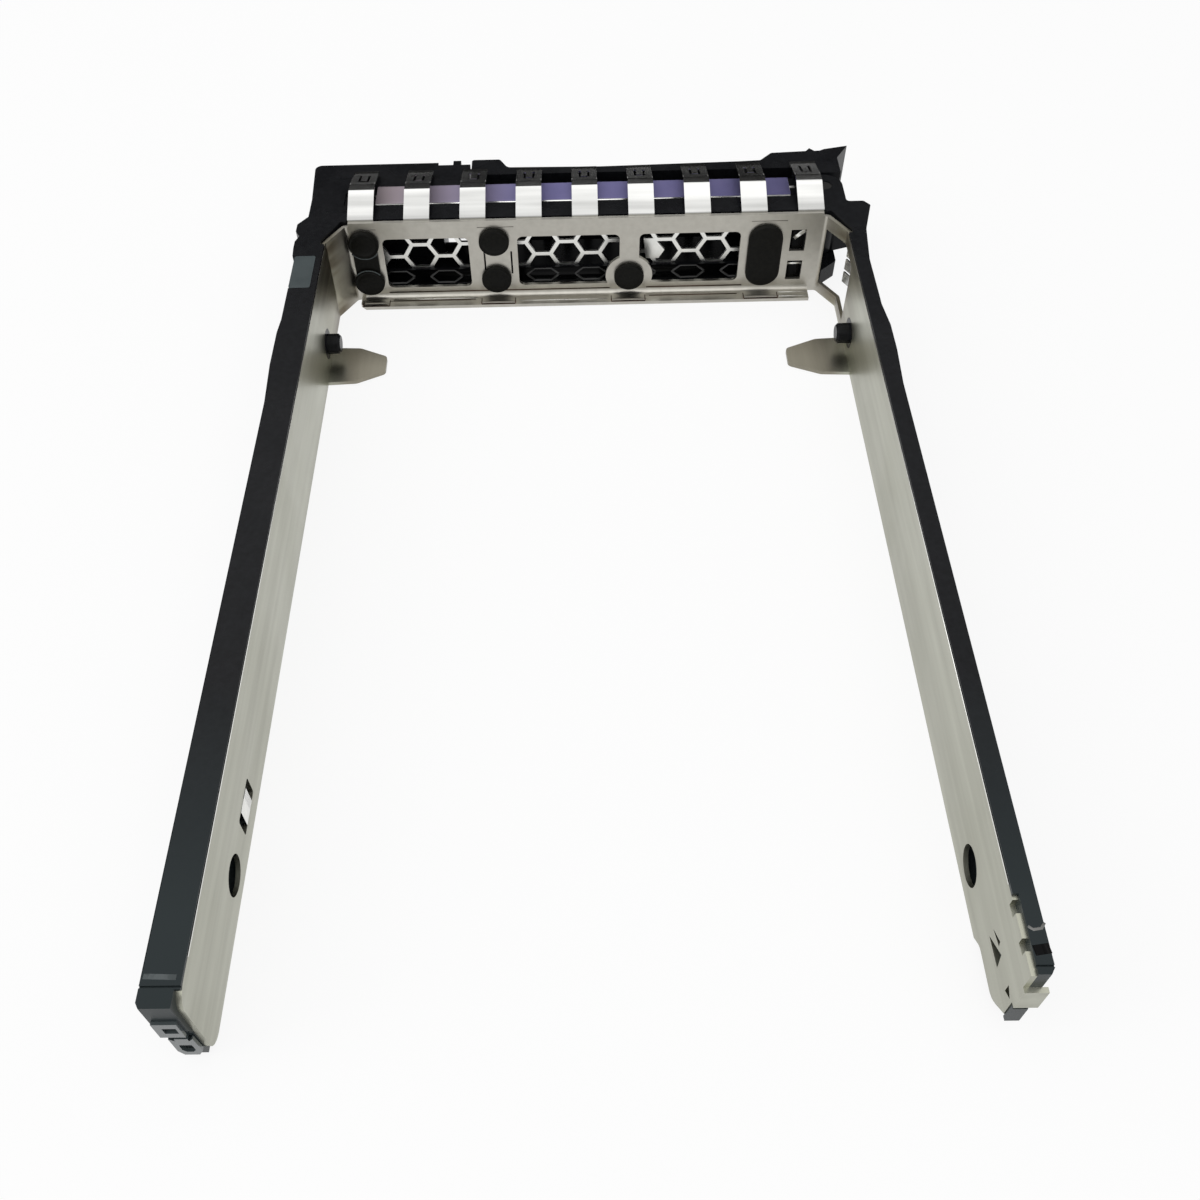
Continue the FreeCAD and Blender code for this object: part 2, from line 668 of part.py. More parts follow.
def side_emi_spring():
    """The small side strip: three sprung fingers reaching forward over the open right corner."""
    body = new_body("side_emi_spring")
    gauge = S["strip_gauge"]
    inner = ARM_OUTER
    low = S["side_band_low"]
    root_at = -S["corner_hole_back"]
    band = box_corners(inner, inner + gauge, root_at - 1.9, root_at + 0.2)
    add(body, "XY", low, [band], S["side_band_height"])
    tail = box_corners(inner, inner + gauge, -S["side_band_end"], root_at - 1.7)
    add(body, "XY", low + 2.8, [tail], S["side_band_height"] - 2.8)
    reach = root_at + 5.4
    bulge = inner + 1.3
    finger = [
        (inner, root_at),
        (inner + gauge, root_at),
        (bulge, root_at + 2.2, 0.6),
        (bulge, root_at + 3.4, 0.6),
        (inner + gauge, reach),
        (inner, reach),
        (bulge - gauge, root_at + 3.4, 0.4),
        (bulge - gauge, root_at + 2.2, 0.4),
    ]
    one = add(body, "XY", low, [finger], S["side_finger_height"])
    in_row(body, one, "Z", S["side_finger_pitch"], S["side_finger_count"])
    return body


def honeycomb_shield():
    """The perforated air shield: an upright sheet of six-sided cells under a bright cap."""
    body = new_body("honeycomb_shield")
    gauge = S["shield_gauge"]
    back = S["shield_at"]
    half = S["shield_half"]
    high = S["shield_high"]
    floor = S["bezel_low"] + S["bezel_wall"]
    add(body, "XZ", back, [box_corners(-half, half, floor - 0.5, high)], gauge)
    shelf = box_corners(-half, half, back, S["riser_at"] + gauge)
    add(body, "XY", high - gauge, [shelf], gauge)
    riser = box_corners(-half, half, high - gauge, HEIGHT - 0.3)
    add(body, "XZ", S["riser_at"], [riser], gauge)
    cap = box_corners(-half + 0.2, half - 0.8, S["cap_back"], S["cap_front"], 0.5)
    add(body, "XY", HEIGHT - 0.4, [cap], 0.35)
    pitch = S["cell_pitch"]
    column = pitch * (math.sqrt(3) / 2)
    radius = (pitch - S["cell_web"]) / math.sqrt(3)
    roof = high - gauge - 0.4
    for phase in (0, 1):
        first = column * phase - S["first_cell"]
        repeat = int(value_of(half - radius - 0.3 - first) / (2 * column.value)) + 1
        for level in range(2 + phase):
            middle = S["cell_level"] + pitch * (level - phase * 0.5)
            shape = hexagon(first, middle, radius, floor, roof)
            cell = cut(body, "XZ", back - 1, [shape], gauge + 1.5)
            in_row(body, cell, "X", column * 2, repeat)
    solid = [
        (STEM_MIDDLE + 2.1, S["cell_level"] + 4.2),
        (STEM_MIDDLE + 3.6, S["cell_level"] + 4.2),
        (STEM_MIDDLE + 5.1, S["cell_level"] + 2.2),
        (STEM_MIDDLE + 4.3, S["cell_level"] + 0.8),
        (STEM_MIDDLE + 2.5, S["cell_level"] + 0.8),
    ]
    add(body, "XZ", back, [solid], gauge)
    return body


def hexagon(across, up, radius, floor, roof):
    """The corners of a six-sided cell with a flat top, cut off level at a floor and at a roof."""
    rise = radius * (math.sqrt(3) / 2)
    lower = (up - rise, radius / 2)
    if lower[0].value < floor.value:
        lower = (floor, radius - (up - floor) / math.sqrt(3))
        if floor.value > up.value:
            lower = (floor, radius - (floor - up) / math.sqrt(3))
    upper = (up + rise, radius / 2)
    if upper[0].value > roof.value:
        upper = (roof, radius - (roof - up) / math.sqrt(3))
    corners = [(across - lower[1], lower[0]), (across + lower[1], lower[0])]
    if floor.value < up.value:
        corners.append((across + radius, up))
    corners += [(across + upper[1], upper[0]), (across - upper[1], upper[0])]
    if floor.value < up.value:
        corners.append((across - radius, up))
    return corners


def bezel_body():
    """The black front moulding: left pillar, floor, top wall, pivot straps and two side arms."""
    body = new_body("bezel_body")
    low = S["bezel_low"]
    top = HEIGHT - 0.1
    side = ARM_OUTER
    back = -S["side_arm_back"]
    bend_front = STRIP_FRONT
    corner_in = S["plate_half"] + 0.6
    corner_back = S["corner_back"] - 0.3
    right = -S["pillar_right"]
    left = -S["bezel_half"]
    face = -S["left_side"]
    pillar = [
        (right, S["pillar_back"]),
        (right, S["bezel_front"] - 1.8),
        (right - 0.4, S["bezel_front"] - 1.8),
        (right - 0.4, S["bezel_front"]),
        (left, S["bezel_front"], 1.0),
        (left + 0.5, 6.0, 2.0),
        (left + 0.5, 2.0),
        (face - 0.7, 0.3, 0.4),
        (face - 0.7, -1.3, 0.4),
        (face - 0.1, -2.35),
        (face - 0.55, -3.5, 0.3),
        (face - 0.55, -5.0, 0.3),
        (face - 0.25, -9.0),
        (face - 0.1, -11.0),
        (face - 0.1, back),
        (-side, back),
        (-side, -corner_back),
        (-corner_in, bend_front),
        (-corner_in, S["pillar_back"]),
    ]
    add(body, "XY", low, [pillar], top - low)
    lug_left = PIVOT_X - S["lug_radius"]
    wall_right = lug_left - 0.3
    floor = box_corners(-corner_in - 0.5, wall_right, bend_front, S["floor_front"])
    add(body, "XY", low, [floor], S["bezel_wall"])
    apron = box_corners(-corner_in - 0.5, wall_right, S["shield_at"] - 0.6, S["shield_at"] - 0.1)
    add(body, "XY", low, [apron], 3.3 - low)
    roof = box_corners(-corner_in - 0.5, wall_right, bend_front, S["cap_front"] + 0.3)
    add(body, "XY", HEIGHT - 1.6, [roof], 1.2)
    rim = box_corners(-corner_in - 0.5, wall_right, bend_front, S["cap_back"] - 0.1)
    add(body, "XY", HEIGHT - 0.5, [rim], 0.4)
    ledge = box_corners(right - 0.5, wall_right, S["pillar_back"] + 1.4, S["floor_front"])
    add(body, "XY", HEIGHT - 2.6, [ledge], 1.0)
    end_wall = box_corners(wall_right - 1.2, wall_right, bend_front, S["floor_front"])
    add(body, "XY", low, [end_wall], top - low)
    eave = box_corners(right - 0.5, -S["handle_left"] - 0.2, S["pillar_back"], S["bezel_front"] - 0.6)
    add(body, "XY", HEIGHT - 1.6, [eave], top - (HEIGHT - 1.6))
    post = box_corners(STEM_MIDDLE + 2.2, STEM_MIDDLE + 4.0, S["riser_at"] + 0.6, S["floor_front"])
    add(body, "XY", low, [post], HEIGHT - 1.6 - low)
    shoulder = S["shoulder_side"]
    lug_right = PIVOT_X + S["lug_radius"]
    lug_round = S["lug_radius"] - 0.02
    strap = [
        (wall_right - 0.5, bend_front),
        (corner_in, bend_front),
        (side, -corner_back),
        (side, back),
        (S["right_side"] + 0.15, back),
        (S["right_side"] + 0.1, -10.0, 8.0),
        (S["right_side"] + 0.7, -3.5, 4.0),
        (shoulder, 1.8, 0.4),
        (shoulder - 0.8, 2.8, 0.4),
        (lug_right, 2.8, 0.5),
        (lug_right, PIVOT_Y + S["lug_radius"], lug_round),
        (lug_left, PIVOT_Y + S["lug_radius"], lug_round),
        (lug_left, PIVOT_Y),
        (wall_right - 0.5, PIVOT_Y - 1),
    ]
    add(body, "XY", TOP_STRAP, [strap], top - TOP_STRAP)
    low_lug = [
        (wall_right - 0.5, bend_front),
        (corner_in, bend_front),
        (lug_right, 2.8, 0.5),
        (lug_right, PIVOT_Y + S["lug_radius"], lug_round),
        (lug_left, PIVOT_Y + S["lug_radius"], lug_round),
        (lug_left, PIVOT_Y),
        (wall_right - 0.5, PIVOT_Y - 1),
    ]
    add(body, "XY", low, [low_lug], LOW_STRAP - low)
    side_arm = box_corners(side, S["right_side"] + 0.1, back, -S["corner_hole_back"] - 0.8)
    add(body, "XY", low, [side_arm], top - low)
    lips = [
        box_corners(-side - 0.2, -ARM_INNER, back, -corner_back - 0.9),
        box_corners(ARM_INNER, side + 0.2, back, -corner_back - 0.9),
    ]
    add(body, "XY", S["arm_height"] + 0.02, lips, top - S["arm_height"] - 0.02)
    hollow_pillar(body, low, right)
    gap = S["fit_gap"]
    shield_end = S["shield_half"] + gap
    seat = box_corners(-shield_end, shield_end, S["shield_at"] - gap,
                       S["shield_at"] + S["shield_gauge"] + gap)
    cut(body, "XY", low + S["bezel_wall"] - 0.5 - gap, [seat], 1)
    slot = box_corners(-shield_end, shield_end, S["riser_at"] - gap, S["riser_at"] + S["shield_gauge"] + gap)
    cut(body, "XY", S["shield_high"], [slot], 3)
    cap_seat = box_corners(-S["shield_half"] - 0.5, S["shield_half"] + 0.5, S["cap_back"] - 0.1,
                           S["cap_front"] + 0.1)
    cut(body, "XY", HEIGHT - 0.4, [cap_seat], 1)
    cut(body, "XY", low - 1, [("disc", PIVOT_X, PIVOT_Y, S["pin_width"])], top + 2)
    for level in (S["pipe_low"], UPPER_PIPE):
        cut(body, "XZ", back - 1, [pipe_section(level, S["fit_gap"])], S["bezel_front"] - back + 3)
    block = box_corners(face - 2, -side - 0.25, -13.35, -6.65)
    cut(body, "XY", UPPER_PIPE + S["pipe_height"], [block], HEIGHT)
    head_hole = ("disc", FRONT_HOLE, HOLE_HEIGHT, 5.5)
    cut(body, "YZ", side - 0.01, [head_hole], 0.46)
    cut(body, "YZ", -side - 0.45, [head_hole], 0.46)
    spring_low = S["side_band_low"] - 0.2
    base = box_corners(-S["side_band_end"] - 0.2, -S["corner_hole_back"] + 0.4, spring_low,
                       spring_low + S["side_band_height"] + 0.4)
    cut(body, "YZ", side - 0.01, [base], S["strip_gauge"] + 0.06)
    strip_half = (S["finger_pitch"] * (S["finger_count"] - 1) + S["finger_width"]) / 2 + 0.2
    band = box_corners(-strip_half, strip_half, HEIGHT - 0.6, HEIGHT + 1)
    cut(body, "XZ", bend_front - 0.2, [band], 0.5)
    return body


def hollow_pillar(body, low, right):
    """The chamber for the release slide, with its way out to the front and to the right."""
    front_wall = S["bezel_front"] - 1.8
    chamber = box_corners(-35.2, right - 1.2, S["pillar_back"] + 0.7, front_wall)
    cut(body, "XY", low - 1, [chamber], HEIGHT - 1.5 - low + 1)
    gap = S["slide_play"]
    way_out = box_corners(front_wall - 3.5, front_wall + 0.01, SLIDE_LOW - gap, SLIDE_HIGH + gap)
    cut(body, "YZ", right - 1.5, [way_out], 3)
    thumb = box_corners(-31.6, -22.4, SLIDE_LOW - gap, SLIDE_HIGH + gap, 0.5)
    cut(body, "XZ", front_wall - 0.5, [thumb], 3)


def pipe_section(level, gap):
    """The section of a light pipe, or of the channel that holds it."""
    return box_corners(PIPE_LEFT - gap, PIPE_RIGHT + gap, level - gap, level + S["pipe_height"] + gap)


def ejector_handle():
    """The lever: a vented front wall from the latch to the hinge, with the cam nose at the hub."""
    body = new_body("ejector_handle")
    low = S["bezel_low"] + 0.2
    top = HEIGHT - 0.1
    rear = S["handle_face"] - S["handle_wall"]
    left = -S["handle_left"]
    step = S["handle_step"]
    face = S["handle_face"]
    nose_front = S["handle_nose"]
    wall = [
        (left, rear),
        (PIVOT_X - S["lug_radius"] + 0.3, rear),
        (PIVOT_X - S["lug_radius"] + 0.3, rear - 1.4),
        (PIVOT_X + 2.7, rear - 1.4),
        (PIVOT_X + 2.7, nose_front - 2.2),
        (S["handle_right"], nose_front + 0.7),
        (PIVOT_X + 1.15, nose_front),
        (PIVOT_X + 0.5, nose_front - 0.35),
        (PIVOT_X - 0.3, nose_front - 0.4),
        (PIVOT_X - 0.95, nose_front + 0.3),
        (PIVOT_X - 1.5, nose_front - 0.4),
        (step + 1.6, nose_front - 0.65, 0.5),
        (step - 0.1, face + 0.4, 0.5),
        (step - 3.0, face + 0.25),
        (left + 18.3, face - 0.2),
        (left + 5.1, face + 0.1, 0.8),
        (left + 4.0, face + 2.1, 0.5),
        (left, face + 2.1, 0.4),
    ]
    add(body, "XY", low, [wall], top - low)
    count = S["vent_count"]
    first = (step + left) / 2 + 0.4 - S["vent_pitch"] * (count - 1) / 2
    vent = box_corners(first - S["vent_width"] / 2, first + S["vent_width"] / 2, 2.2, 10.9)
    slot = cut(body, "XZ", rear - 1, [vent], S["handle_wall"] + 2)
    in_row(body, slot, "X", S["vent_pitch"], count)
    radius = S["lug_radius"]
    hub = [
        (PIVOT_X - radius, PIVOT_Y - radius, radius - 0.02),
        (PIVOT_X + radius, PIVOT_Y - radius, radius - 0.02),
        (PIVOT_X + radius, rear - 1.0),
        (PIVOT_X - radius, rear - 1.0),
    ]
    add(body, "XY", HUB_LOW, [hub], HUB_TOP - HUB_LOW)
    nose = [
        (PIVOT_X, PIVOT_Y - 1.6),
        (PIVOT_X + 2.2, PIVOT_Y - 1.7, 0.5),
        (PIVOT_X + 5.1, PIVOT_Y - 0.8, 0.5),
        (PIVOT_X + 5.0, PIVOT_Y + 0.4, 0.4),
        (PIVOT_X + 1.7, PIVOT_Y + 2.3),
        (PIVOT_X, PIVOT_Y + 2.3),
    ]
    add(body, "XY", HUB_LOW, [nose], HUB_TOP - HUB_LOW)
    cut(body, "XY", HUB_LOW - 1, [("disc", PIVOT_X, PIVOT_Y, S["pin_width"] + 0.12)],
        HUB_TOP - HUB_LOW + 2)
    prong_left = left + 0.2
    prong = [
        (prong_left + 1.4, rear + 0.2),
        (prong_left, rear + 0.2),
        (prong_left, rear - S["prong_reach"] + 1.0),
        (prong_left - 1.4, rear - S["prong_reach"] + 1.0),
        (prong_left - 1.4, rear - S["prong_reach"]),
        (prong_left + 1.4, rear - S["prong_reach"]),
    ]
    add(body, "XY", LATCH_LOW, [prong], LATCH_HIGH - LATCH_LOW)
    return body


def release_slide():
    """The latch: a bar with a thumb pad, a grip ridge and the nose that holds the handle shut."""
    body = new_body("release_slide")
    rear = S["handle_face"] - S["handle_wall"]
    front_wall = S["bezel_front"] - 1.8
    right = -S["pillar_right"]
    inner = right - 1.2 - S["slide_play"]
    ridge_right = -S["handle_left"] - 1.6
    nose_end = -S["handle_left"] + 0.2 - S["slide_play"]
    bar = [
        (inner - 7.2, front_wall - 4.2),
        (inner, front_wall - 4.2),
        (inner, front_wall - 3.3),
        (ridge_right, front_wall - 3.3),
        (ridge_right, front_wall - 0.3),
        (inner - 7.2, front_wall - 0.3),
    ]
    add(body, "XY", SLIDE_LOW, [bar], SLIDE_HIGH - SLIDE_LOW)
    nose = [
        (ridge_right - 1, rear - 1.9),
        (nose_end, rear - 1.9),
        (nose_end, rear - 0.9),
        (nose_end - 0.6, rear - 0.5),
        (ridge_right - 1, rear - 0.5),
    ]
    add(body, "XY", LATCH_LOW + 0.2, [nose], LATCH_HIGH - LATCH_LOW - 0.4)
    ridge = box_corners(ridge_right - 1.1, ridge_right, front_wall - 0.5, S["ridge_front"])
    add(body, "XY", 1.5, [ridge], HEIGHT - 1.8 - 1.5)
    peak = box_corners(ridge_right - 1.1, ridge_right, S["bezel_front"] - 0.45, S["ridge_front"])
    add(body, "XY", 1.5, [peak], HEIGHT - 0.3 - 1.5)
    pad_left = inner - 7.2
    pad = box_corners(pad_left, pad_left + 6.4, front_wall - 0.5, front_wall + 2.2, 0.5)
    add(body, "XY", SLIDE_LOW + 0.1, [pad], SLIDE_HIGH - SLIDE_LOW - 0.2)
    groove = box_corners(pad_left + 0.9, pad_left + 1.5, front_wall + 1.8, front_wall + 3)
    line = cut(body, "XY", SLIDE_LOW - 1, [groove], SLIDE_HIGH)
    in_row(body, line, "X", S["groove_pitch"], 4)
    return body


def revolved(label, across, profile):
    """A turned piece: a profile of (distance, radius) points about an axis along X at a screw hole."""
    body = new_body(label)
    sketch = new_sketch(body, "XZ", FRONT_HOLE, 0, HOLE_HEIGHT)
    outline(sketch, [(across * place, radius) for place, radius in profile])
    turned = body.newObject("PartDesign::Revolution", label + "_turned")
    turned.Profile = sketch
    turned.ReferenceAxis = (sketch, ["H_Axis"])
    turned.Angle = 360
    settle(turned)
    return body


def drive_pins():
    """The two pins that stand in the drive's front screw holes."""
    tip = ARM_INNER - S["drive_pin_reach"]
    radius = S["drive_pin"] / 2
    neck = S["screw_hole"] / 2 - S["fit_gap"]
    head = S["drive_pin_head"] / 2
    profile = [
        (tip, 0),
        (tip, radius - 0.3),
        (tip + 0.3, radius),
        (ARM_INNER, radius),
        (ARM_INNER, neck),
        (ARM_OUTER, neck),
        (ARM_OUTER, head),
        (ARM_OUTER + 0.4, head),
        (ARM_OUTER + 0.4, 0),
    ]
    return [revolved("left_drive_pin", -1, profile), revolved("right_drive_pin", 1, profile)]


def left_runner():
    """The thick left slide rail with the channels for the light pipes."""
    body = new_body("left_runner")
    low = S["bezel_low"]
    front = -S["side_arm_back"]
    rear = -S["left_arm_length"] - S["runner_overhang"]
    side = -S["left_side"]
    rail = [
        (-ARM_OUTER, front),
        (side - 0.1, front),
        (side - 0.1, front - 2.0),
        (side - 0.32, front - 4.5, 3.0),
        (side - 0.32, front - 10.5, 3.0),
        (side, front - 17.0, 6.0),
        (side, rear + 0.5),
        (side + 0.3, rear),
        (-ARM_OUTER, rear),
    ]
    add(body, "XY", low, [rail], S["runner_top"] - low)
    lip = box_corners(-ARM_OUTER - 0.2, -ARM_INNER, rear + 1.6, front)
    add(body, "XY", S["arm_height"] + 0.02, [lip], S["runner_top"] - S["arm_height"] - 0.02)
    heel = [
        (rear - 0.1, low - 0.1),
        (rear + 0.4, low - 0.1),
        (rear + 0.4, 6.0),
        (rear, 7.4),
        (rear - 0.1, 7.4),
    ]
    cut(body, "YZ", side - 1, [heel], 5)
    corner = [
        (side - 1, rear - 0.1),
        (side + 0.65, rear - 0.1),
        (side + 0.65, rear + 0.4),
        (side + 0.25, rear + 1.6),
        (side + 0.1, rear + 8.0),
        (side - 1, rear + 8.0),
    ]
    cut(body, "XY", low - 0.1, [corner], 6.2)
    for level in (S["pipe_low"], UPPER_PIPE):
        cut(body, "XZ", rear - 1, [pipe_section(level, S["fit_gap"])], front - rear + 2)
    stud_room = ("disc", REAR_HOLE, HOLE_HEIGHT, S["screw_hole"] + 1.2)
    cut(body, "YZ", -ARM_OUTER - 0.7, [stud_room], 0.8)
    lug = box_corners(-S["left_arm_length"] + 21.3, -S["left_arm_length"] + 24.1, 2.7, 3.3)
    add(body, "YZ", -ARM_OUTER, [lug], GAUGE)
    line = box_corners(side - 1, side + 5, rear + 1.7, rear + 1.9)
    cut(body, "XY", S["runner_top"] - 0.2, [line], 1)
    return body


def right_runner():
    """The thin right slide rail, held behind by the frame's wrapped tab."""
    body = new_body("right_runner")
    low = S["bezel_low"]
    front = -S["side_arm_back"]
    rear = -S["right_arm_length"]
    side = S["right_side"]
    rail = [
        (ARM_OUTER, front),
        (side + 0.15, front),
        (side + 0.15, front - 1.5),
        (side + 0.6, front - 5.5, 3.0),
        (side + 0.6, front - 10.0, 3.0),
        (side + 0.3, front - 16.0, 4.0),
        (side + 0.3, rear + 0.6),
        (side - 0.1, rear),
        (ARM_OUTER, rear),
    ]
    add(body, "XY", low, [rail], S["runner_top"] - low)
    lip = box_corners(ARM_INNER, ARM_OUTER + 0.2, rear + 7.0, front)
    add(body, "XY", S["arm_height"] + 0.02, [lip], S["runner_top"] - S["arm_height"] - 0.02)
    heel = [
        (rear - 1, low - 1),
        (rear + 2.6, low - 1),
        (rear + 2.0, low),
        (rear - 0.1, low + 2.5),
        (rear - 1, low + 2.5),
    ]
    cut(body, "YZ", ARM_OUTER - 1, [heel], 4)
    stud_room = ("disc", REAR_HOLE, HOLE_HEIGHT, S["screw_hole"] + 1.2)
    cut(body, "YZ", ARM_OUTER - 0.1, [stud_room], 0.8)
    tip = [
        (ARM_INNER + 0.1, rear - 0.45),
        (side - 0.3, rear - 0.45),
        (side - 0.3, rear + 0.5),
        (ARM_OUTER, rear + 0.5),
        (ARM_OUTER, rear - 0.02),
        (ARM_INNER + 0.1, rear - 0.02),
    ]
    add(body, "XY", 3.0, [tip], 3.0)
    line = box_corners(ARM_OUTER - 1, side + 1, rear + 0.6, rear + 0.8)
    cut(body, "XY", S["runner_top"] - 0.2, [line], 1)
    return body


def light_pipes():
    """The two clear rods that carry light from the rear of the left runner to the front face."""
    rear = -S["left_arm_length"] - S["runner_overhang"]
    length = S["bezel_front"] - rear
    high = S["pipe_height"]
    lower = new_body("light_pipe_lower")
    add(lower, "XZ", rear, [pipe_section(S["pipe_low"], 0)], length)
    upper = new_body("light_pipe_upper")
    add(upper, "XZ", rear, [pipe_section(UPPER_PIPE, 0)], length)
    base = UPPER_PIPE + high
    block = box_corners(-S["left_side"] - 0.1, -ARM_OUTER - 0.3, -13.3, -6.7, 0.3)
    add(upper, "XY", base, [block], S["runner_top"] - base)
    outer = -S["left_side"] + 0.5
    inner = -ARM_OUTER - 0.3
    above = [
        (outer, UPPER_PIPE + 0.6),
        (PIPE_LEFT, UPPER_PIPE + 0.6),
        (PIPE_LEFT, base + 1.2),
        (PIPE_RIGHT, base + 1.2),
        (PIPE_RIGHT, UPPER_PIPE + 0.6),
        (inner, UPPER_PIPE + 0.6),
        (inner, base + 2.2),
        (outer, base + 2.2),
    ]
    add(upper, "XZ", rear - 0.3, [above], 0.3)
    window = box_corners(PIPE_LEFT - 0.1, PIPE_RIGHT + 0.1, UPPER_PIPE + 0.6, base)
    add(upper, "XZ", rear - 0.3, [window], 0.3)
    edge = -ARM_OUTER - S["fit_gap"]
    foot = S["pipe_low"] - 2.6
    head = S["pipe_low"] + high
    below = [
        (outer + 0.2, head),
        (PIPE_LEFT + 0.05, head - 0.6),
        (PIPE_LEFT + 0.05, S["pipe_low"]),
        (PIPE_LEFT, S["pipe_low"] - 0.5),
        (PIPE_LEFT, foot + 1.3),
        (PIPE_LEFT + 0.3, foot + 0.8),
        (PIPE_RIGHT - 0.3, foot + 0.8),
        (PIPE_RIGHT, foot + 1.3),
        (PIPE_RIGHT, S["pipe_low"] - 0.5),
        (PIPE_RIGHT - 0.05, S["pipe_low"]),
        (PIPE_RIGHT - 0.05, head - 0.6),
        (edge - 0.1, head),
        (edge, foot + 1.0),
        (edge - 0.5, foot),
        (outer + 0.6, foot),
        (outer + 0.2, foot + 1.0),
    ]
    add(lower, "XZ", rear, [below], 0.35)
    return [lower, upper]


def pivot_pin():
    """The steel pin through both straps and the handle's hub."""
    low = S["bezel_low"]
    pin = DOC.addObject("Part::Cylinder", "handle_pivot_pin")
    pin.Label = "handle_pivot_pin"
    pin.setExpression("Radius", (S["pin_width"] / 2).formula)
    pin.setExpression("Height", (HEIGHT - 0.2 - low).formula)
    pin.setExpression(".Placement.Base.x", PIVOT_X.formula)
    pin.setExpression(".Placement.Base.y", PIVOT_Y.formula)
    pin.setExpression(".Placement.Base.z", low.formula)
    settle(pin)
    return pin


def coil_points(turns, pitch, radius, sides):
    """Points along a coil about Z, a fixed number to a turn."""
    points = []
    for step in range(turns * sides + 1):
        angle = 2 * math.pi * step / sides
        up = pitch * step / sides
        points.append(FreeCAD.Vector(radius * math.cos(angle), radius * math.sin(angle), up))
    return points


def ring_at(place, heading, radius):
    """A six-sided ring of the wire's width, square to the heading."""
    upward = FreeCAD.Vector(0, 0, 1)
    across = heading.cross(upward).normalize()
    upward = across.cross(heading).normalize()
    corners = []
    for step in range(6):
        angle = math.radians(60 * step)
        corners.append(place + across * (radius * math.cos(angle)) + upward * (radius * math.sin(angle)))
    return corners


def wire_spring(label, points, wire, place):
    """A spring of bent wire: a six-sided tube of flat faces along the points."""
    rings = []
    for index, point in enumerate(points):
        before = points[max(index - 1, 0)]
        after = points[min(index + 1, len(points) - 1)]
        rings.append(ring_at(point, (after - before).normalize(), wire / 2))
    faces = [Part.Face(Part.makePolygon(ring + ring[:1])) for ring in (rings[0], rings[-1])]
    for near, far in zip(rings, rings[1:]):
        for side in range(6):
            other = (side + 1) % 6
            for three in ((near[side], near[other], far[other]), (near[side], far[other], far[side])):
                faces.append(Part.Face(Part.makePolygon(list(three) + [three[0]])))
    feature = DOC.addObject("Part::Feature", label)
    feature.Label = label
    feature.Shape = Part.Solid(Part.Shell(faces))
    feature.Placement = place
    return feature


def springs():
    """The torsion spring at the hinge and the pressing spring behind the release slide."""
    wire = S["spring_wire"].value
    room = value_of(TOP_STRAP - HUB_TOP)
    turns = 4
    pitch = (room - wire - 0.3) / turns
    radius = value_of(S["pin_width"]) / 2 + wire / 2 + 0.3
    coil = coil_points(turns, pitch, radius, 9)
    first_leg = [coil[0] + FreeCAD.Vector(0, -1.6, 0)]
    last_leg = [coil[-1] + FreeCAD.Vector(0, 1.6, 0)]
    twist = FreeCAD.Placement(
        FreeCAD.Vector(PIVOT_X.value, PIVOT_Y.value, HUB_TOP.value + 0.1 + wire / 2),
        FreeCAD.Rotation(FreeCAD.Vector(0, 0, 1), 90))
    hinge = wire_spring("handle_spring", first_leg + coil + last_leg, wire, twist)
    slide_left = value_of(-S["pillar_right"] - 1.2 - S["slide_play"] - 7.2)
    room = slide_left + 35.2
    middle = value_of(S["bezel_front"] - 1.8 - 2.2)
    lie = FreeCAD.Placement(
        FreeCAD.Vector(-35.2 + wire / 2 + 0.02, middle, (SLIDE_LOW + SLIDE_HIGH) / 2),
        FreeCAD.Rotation(FreeCAD.Vector(0, 1, 0), 90))
    turns = 6
    coil = coil_points(turns, (room - wire - 0.06) / turns, 1.2, 9)
    press = wire_spring("release_spring", coil, wire, lie)
    return [hinge, press]


def build():
    """Every sub-part of the caddy."""
    parts = [inner_frame(), bezel_body(), emi_finger_strip(), side_emi_spring(), honeycomb_shield()]
    parts += bumpers()
    parts += [ejector_handle(), release_slide(), left_runner(), right_runner(), pivot_pin()]
    parts += drive_pins()
    parts += light_pipes()
    parts += springs()
    return parts


def checked(parts):
    """Stop if any object failed or any sub-part has no sound solid."""
    DOC.recompute()
    for item in DOC.Objects:
        if "Invalid" in item.State or "Error" in item.State:
            raise RuntimeError("%s is %s" % (item.Name, item.State))
    for part in parts:
        shape = part.Shape
        if shape.isNull() or not shape.isValid() or not shape.Solids:
            raise RuntimeError("%s has no sound solid" % part.Label)
    return parts


def write(parts):
    """One STEP file for each sub-part."""
    os.makedirs("parts", exist_ok=True)
    for part in parts:
        part.Shape.exportStep("parts/%s.step" % part.Label)
        print("%-20s %d solid(s), %.1f mm3" % (part.Label, len(part.Shape.Solids), part.Shape.Volume))


write(checked(build()))
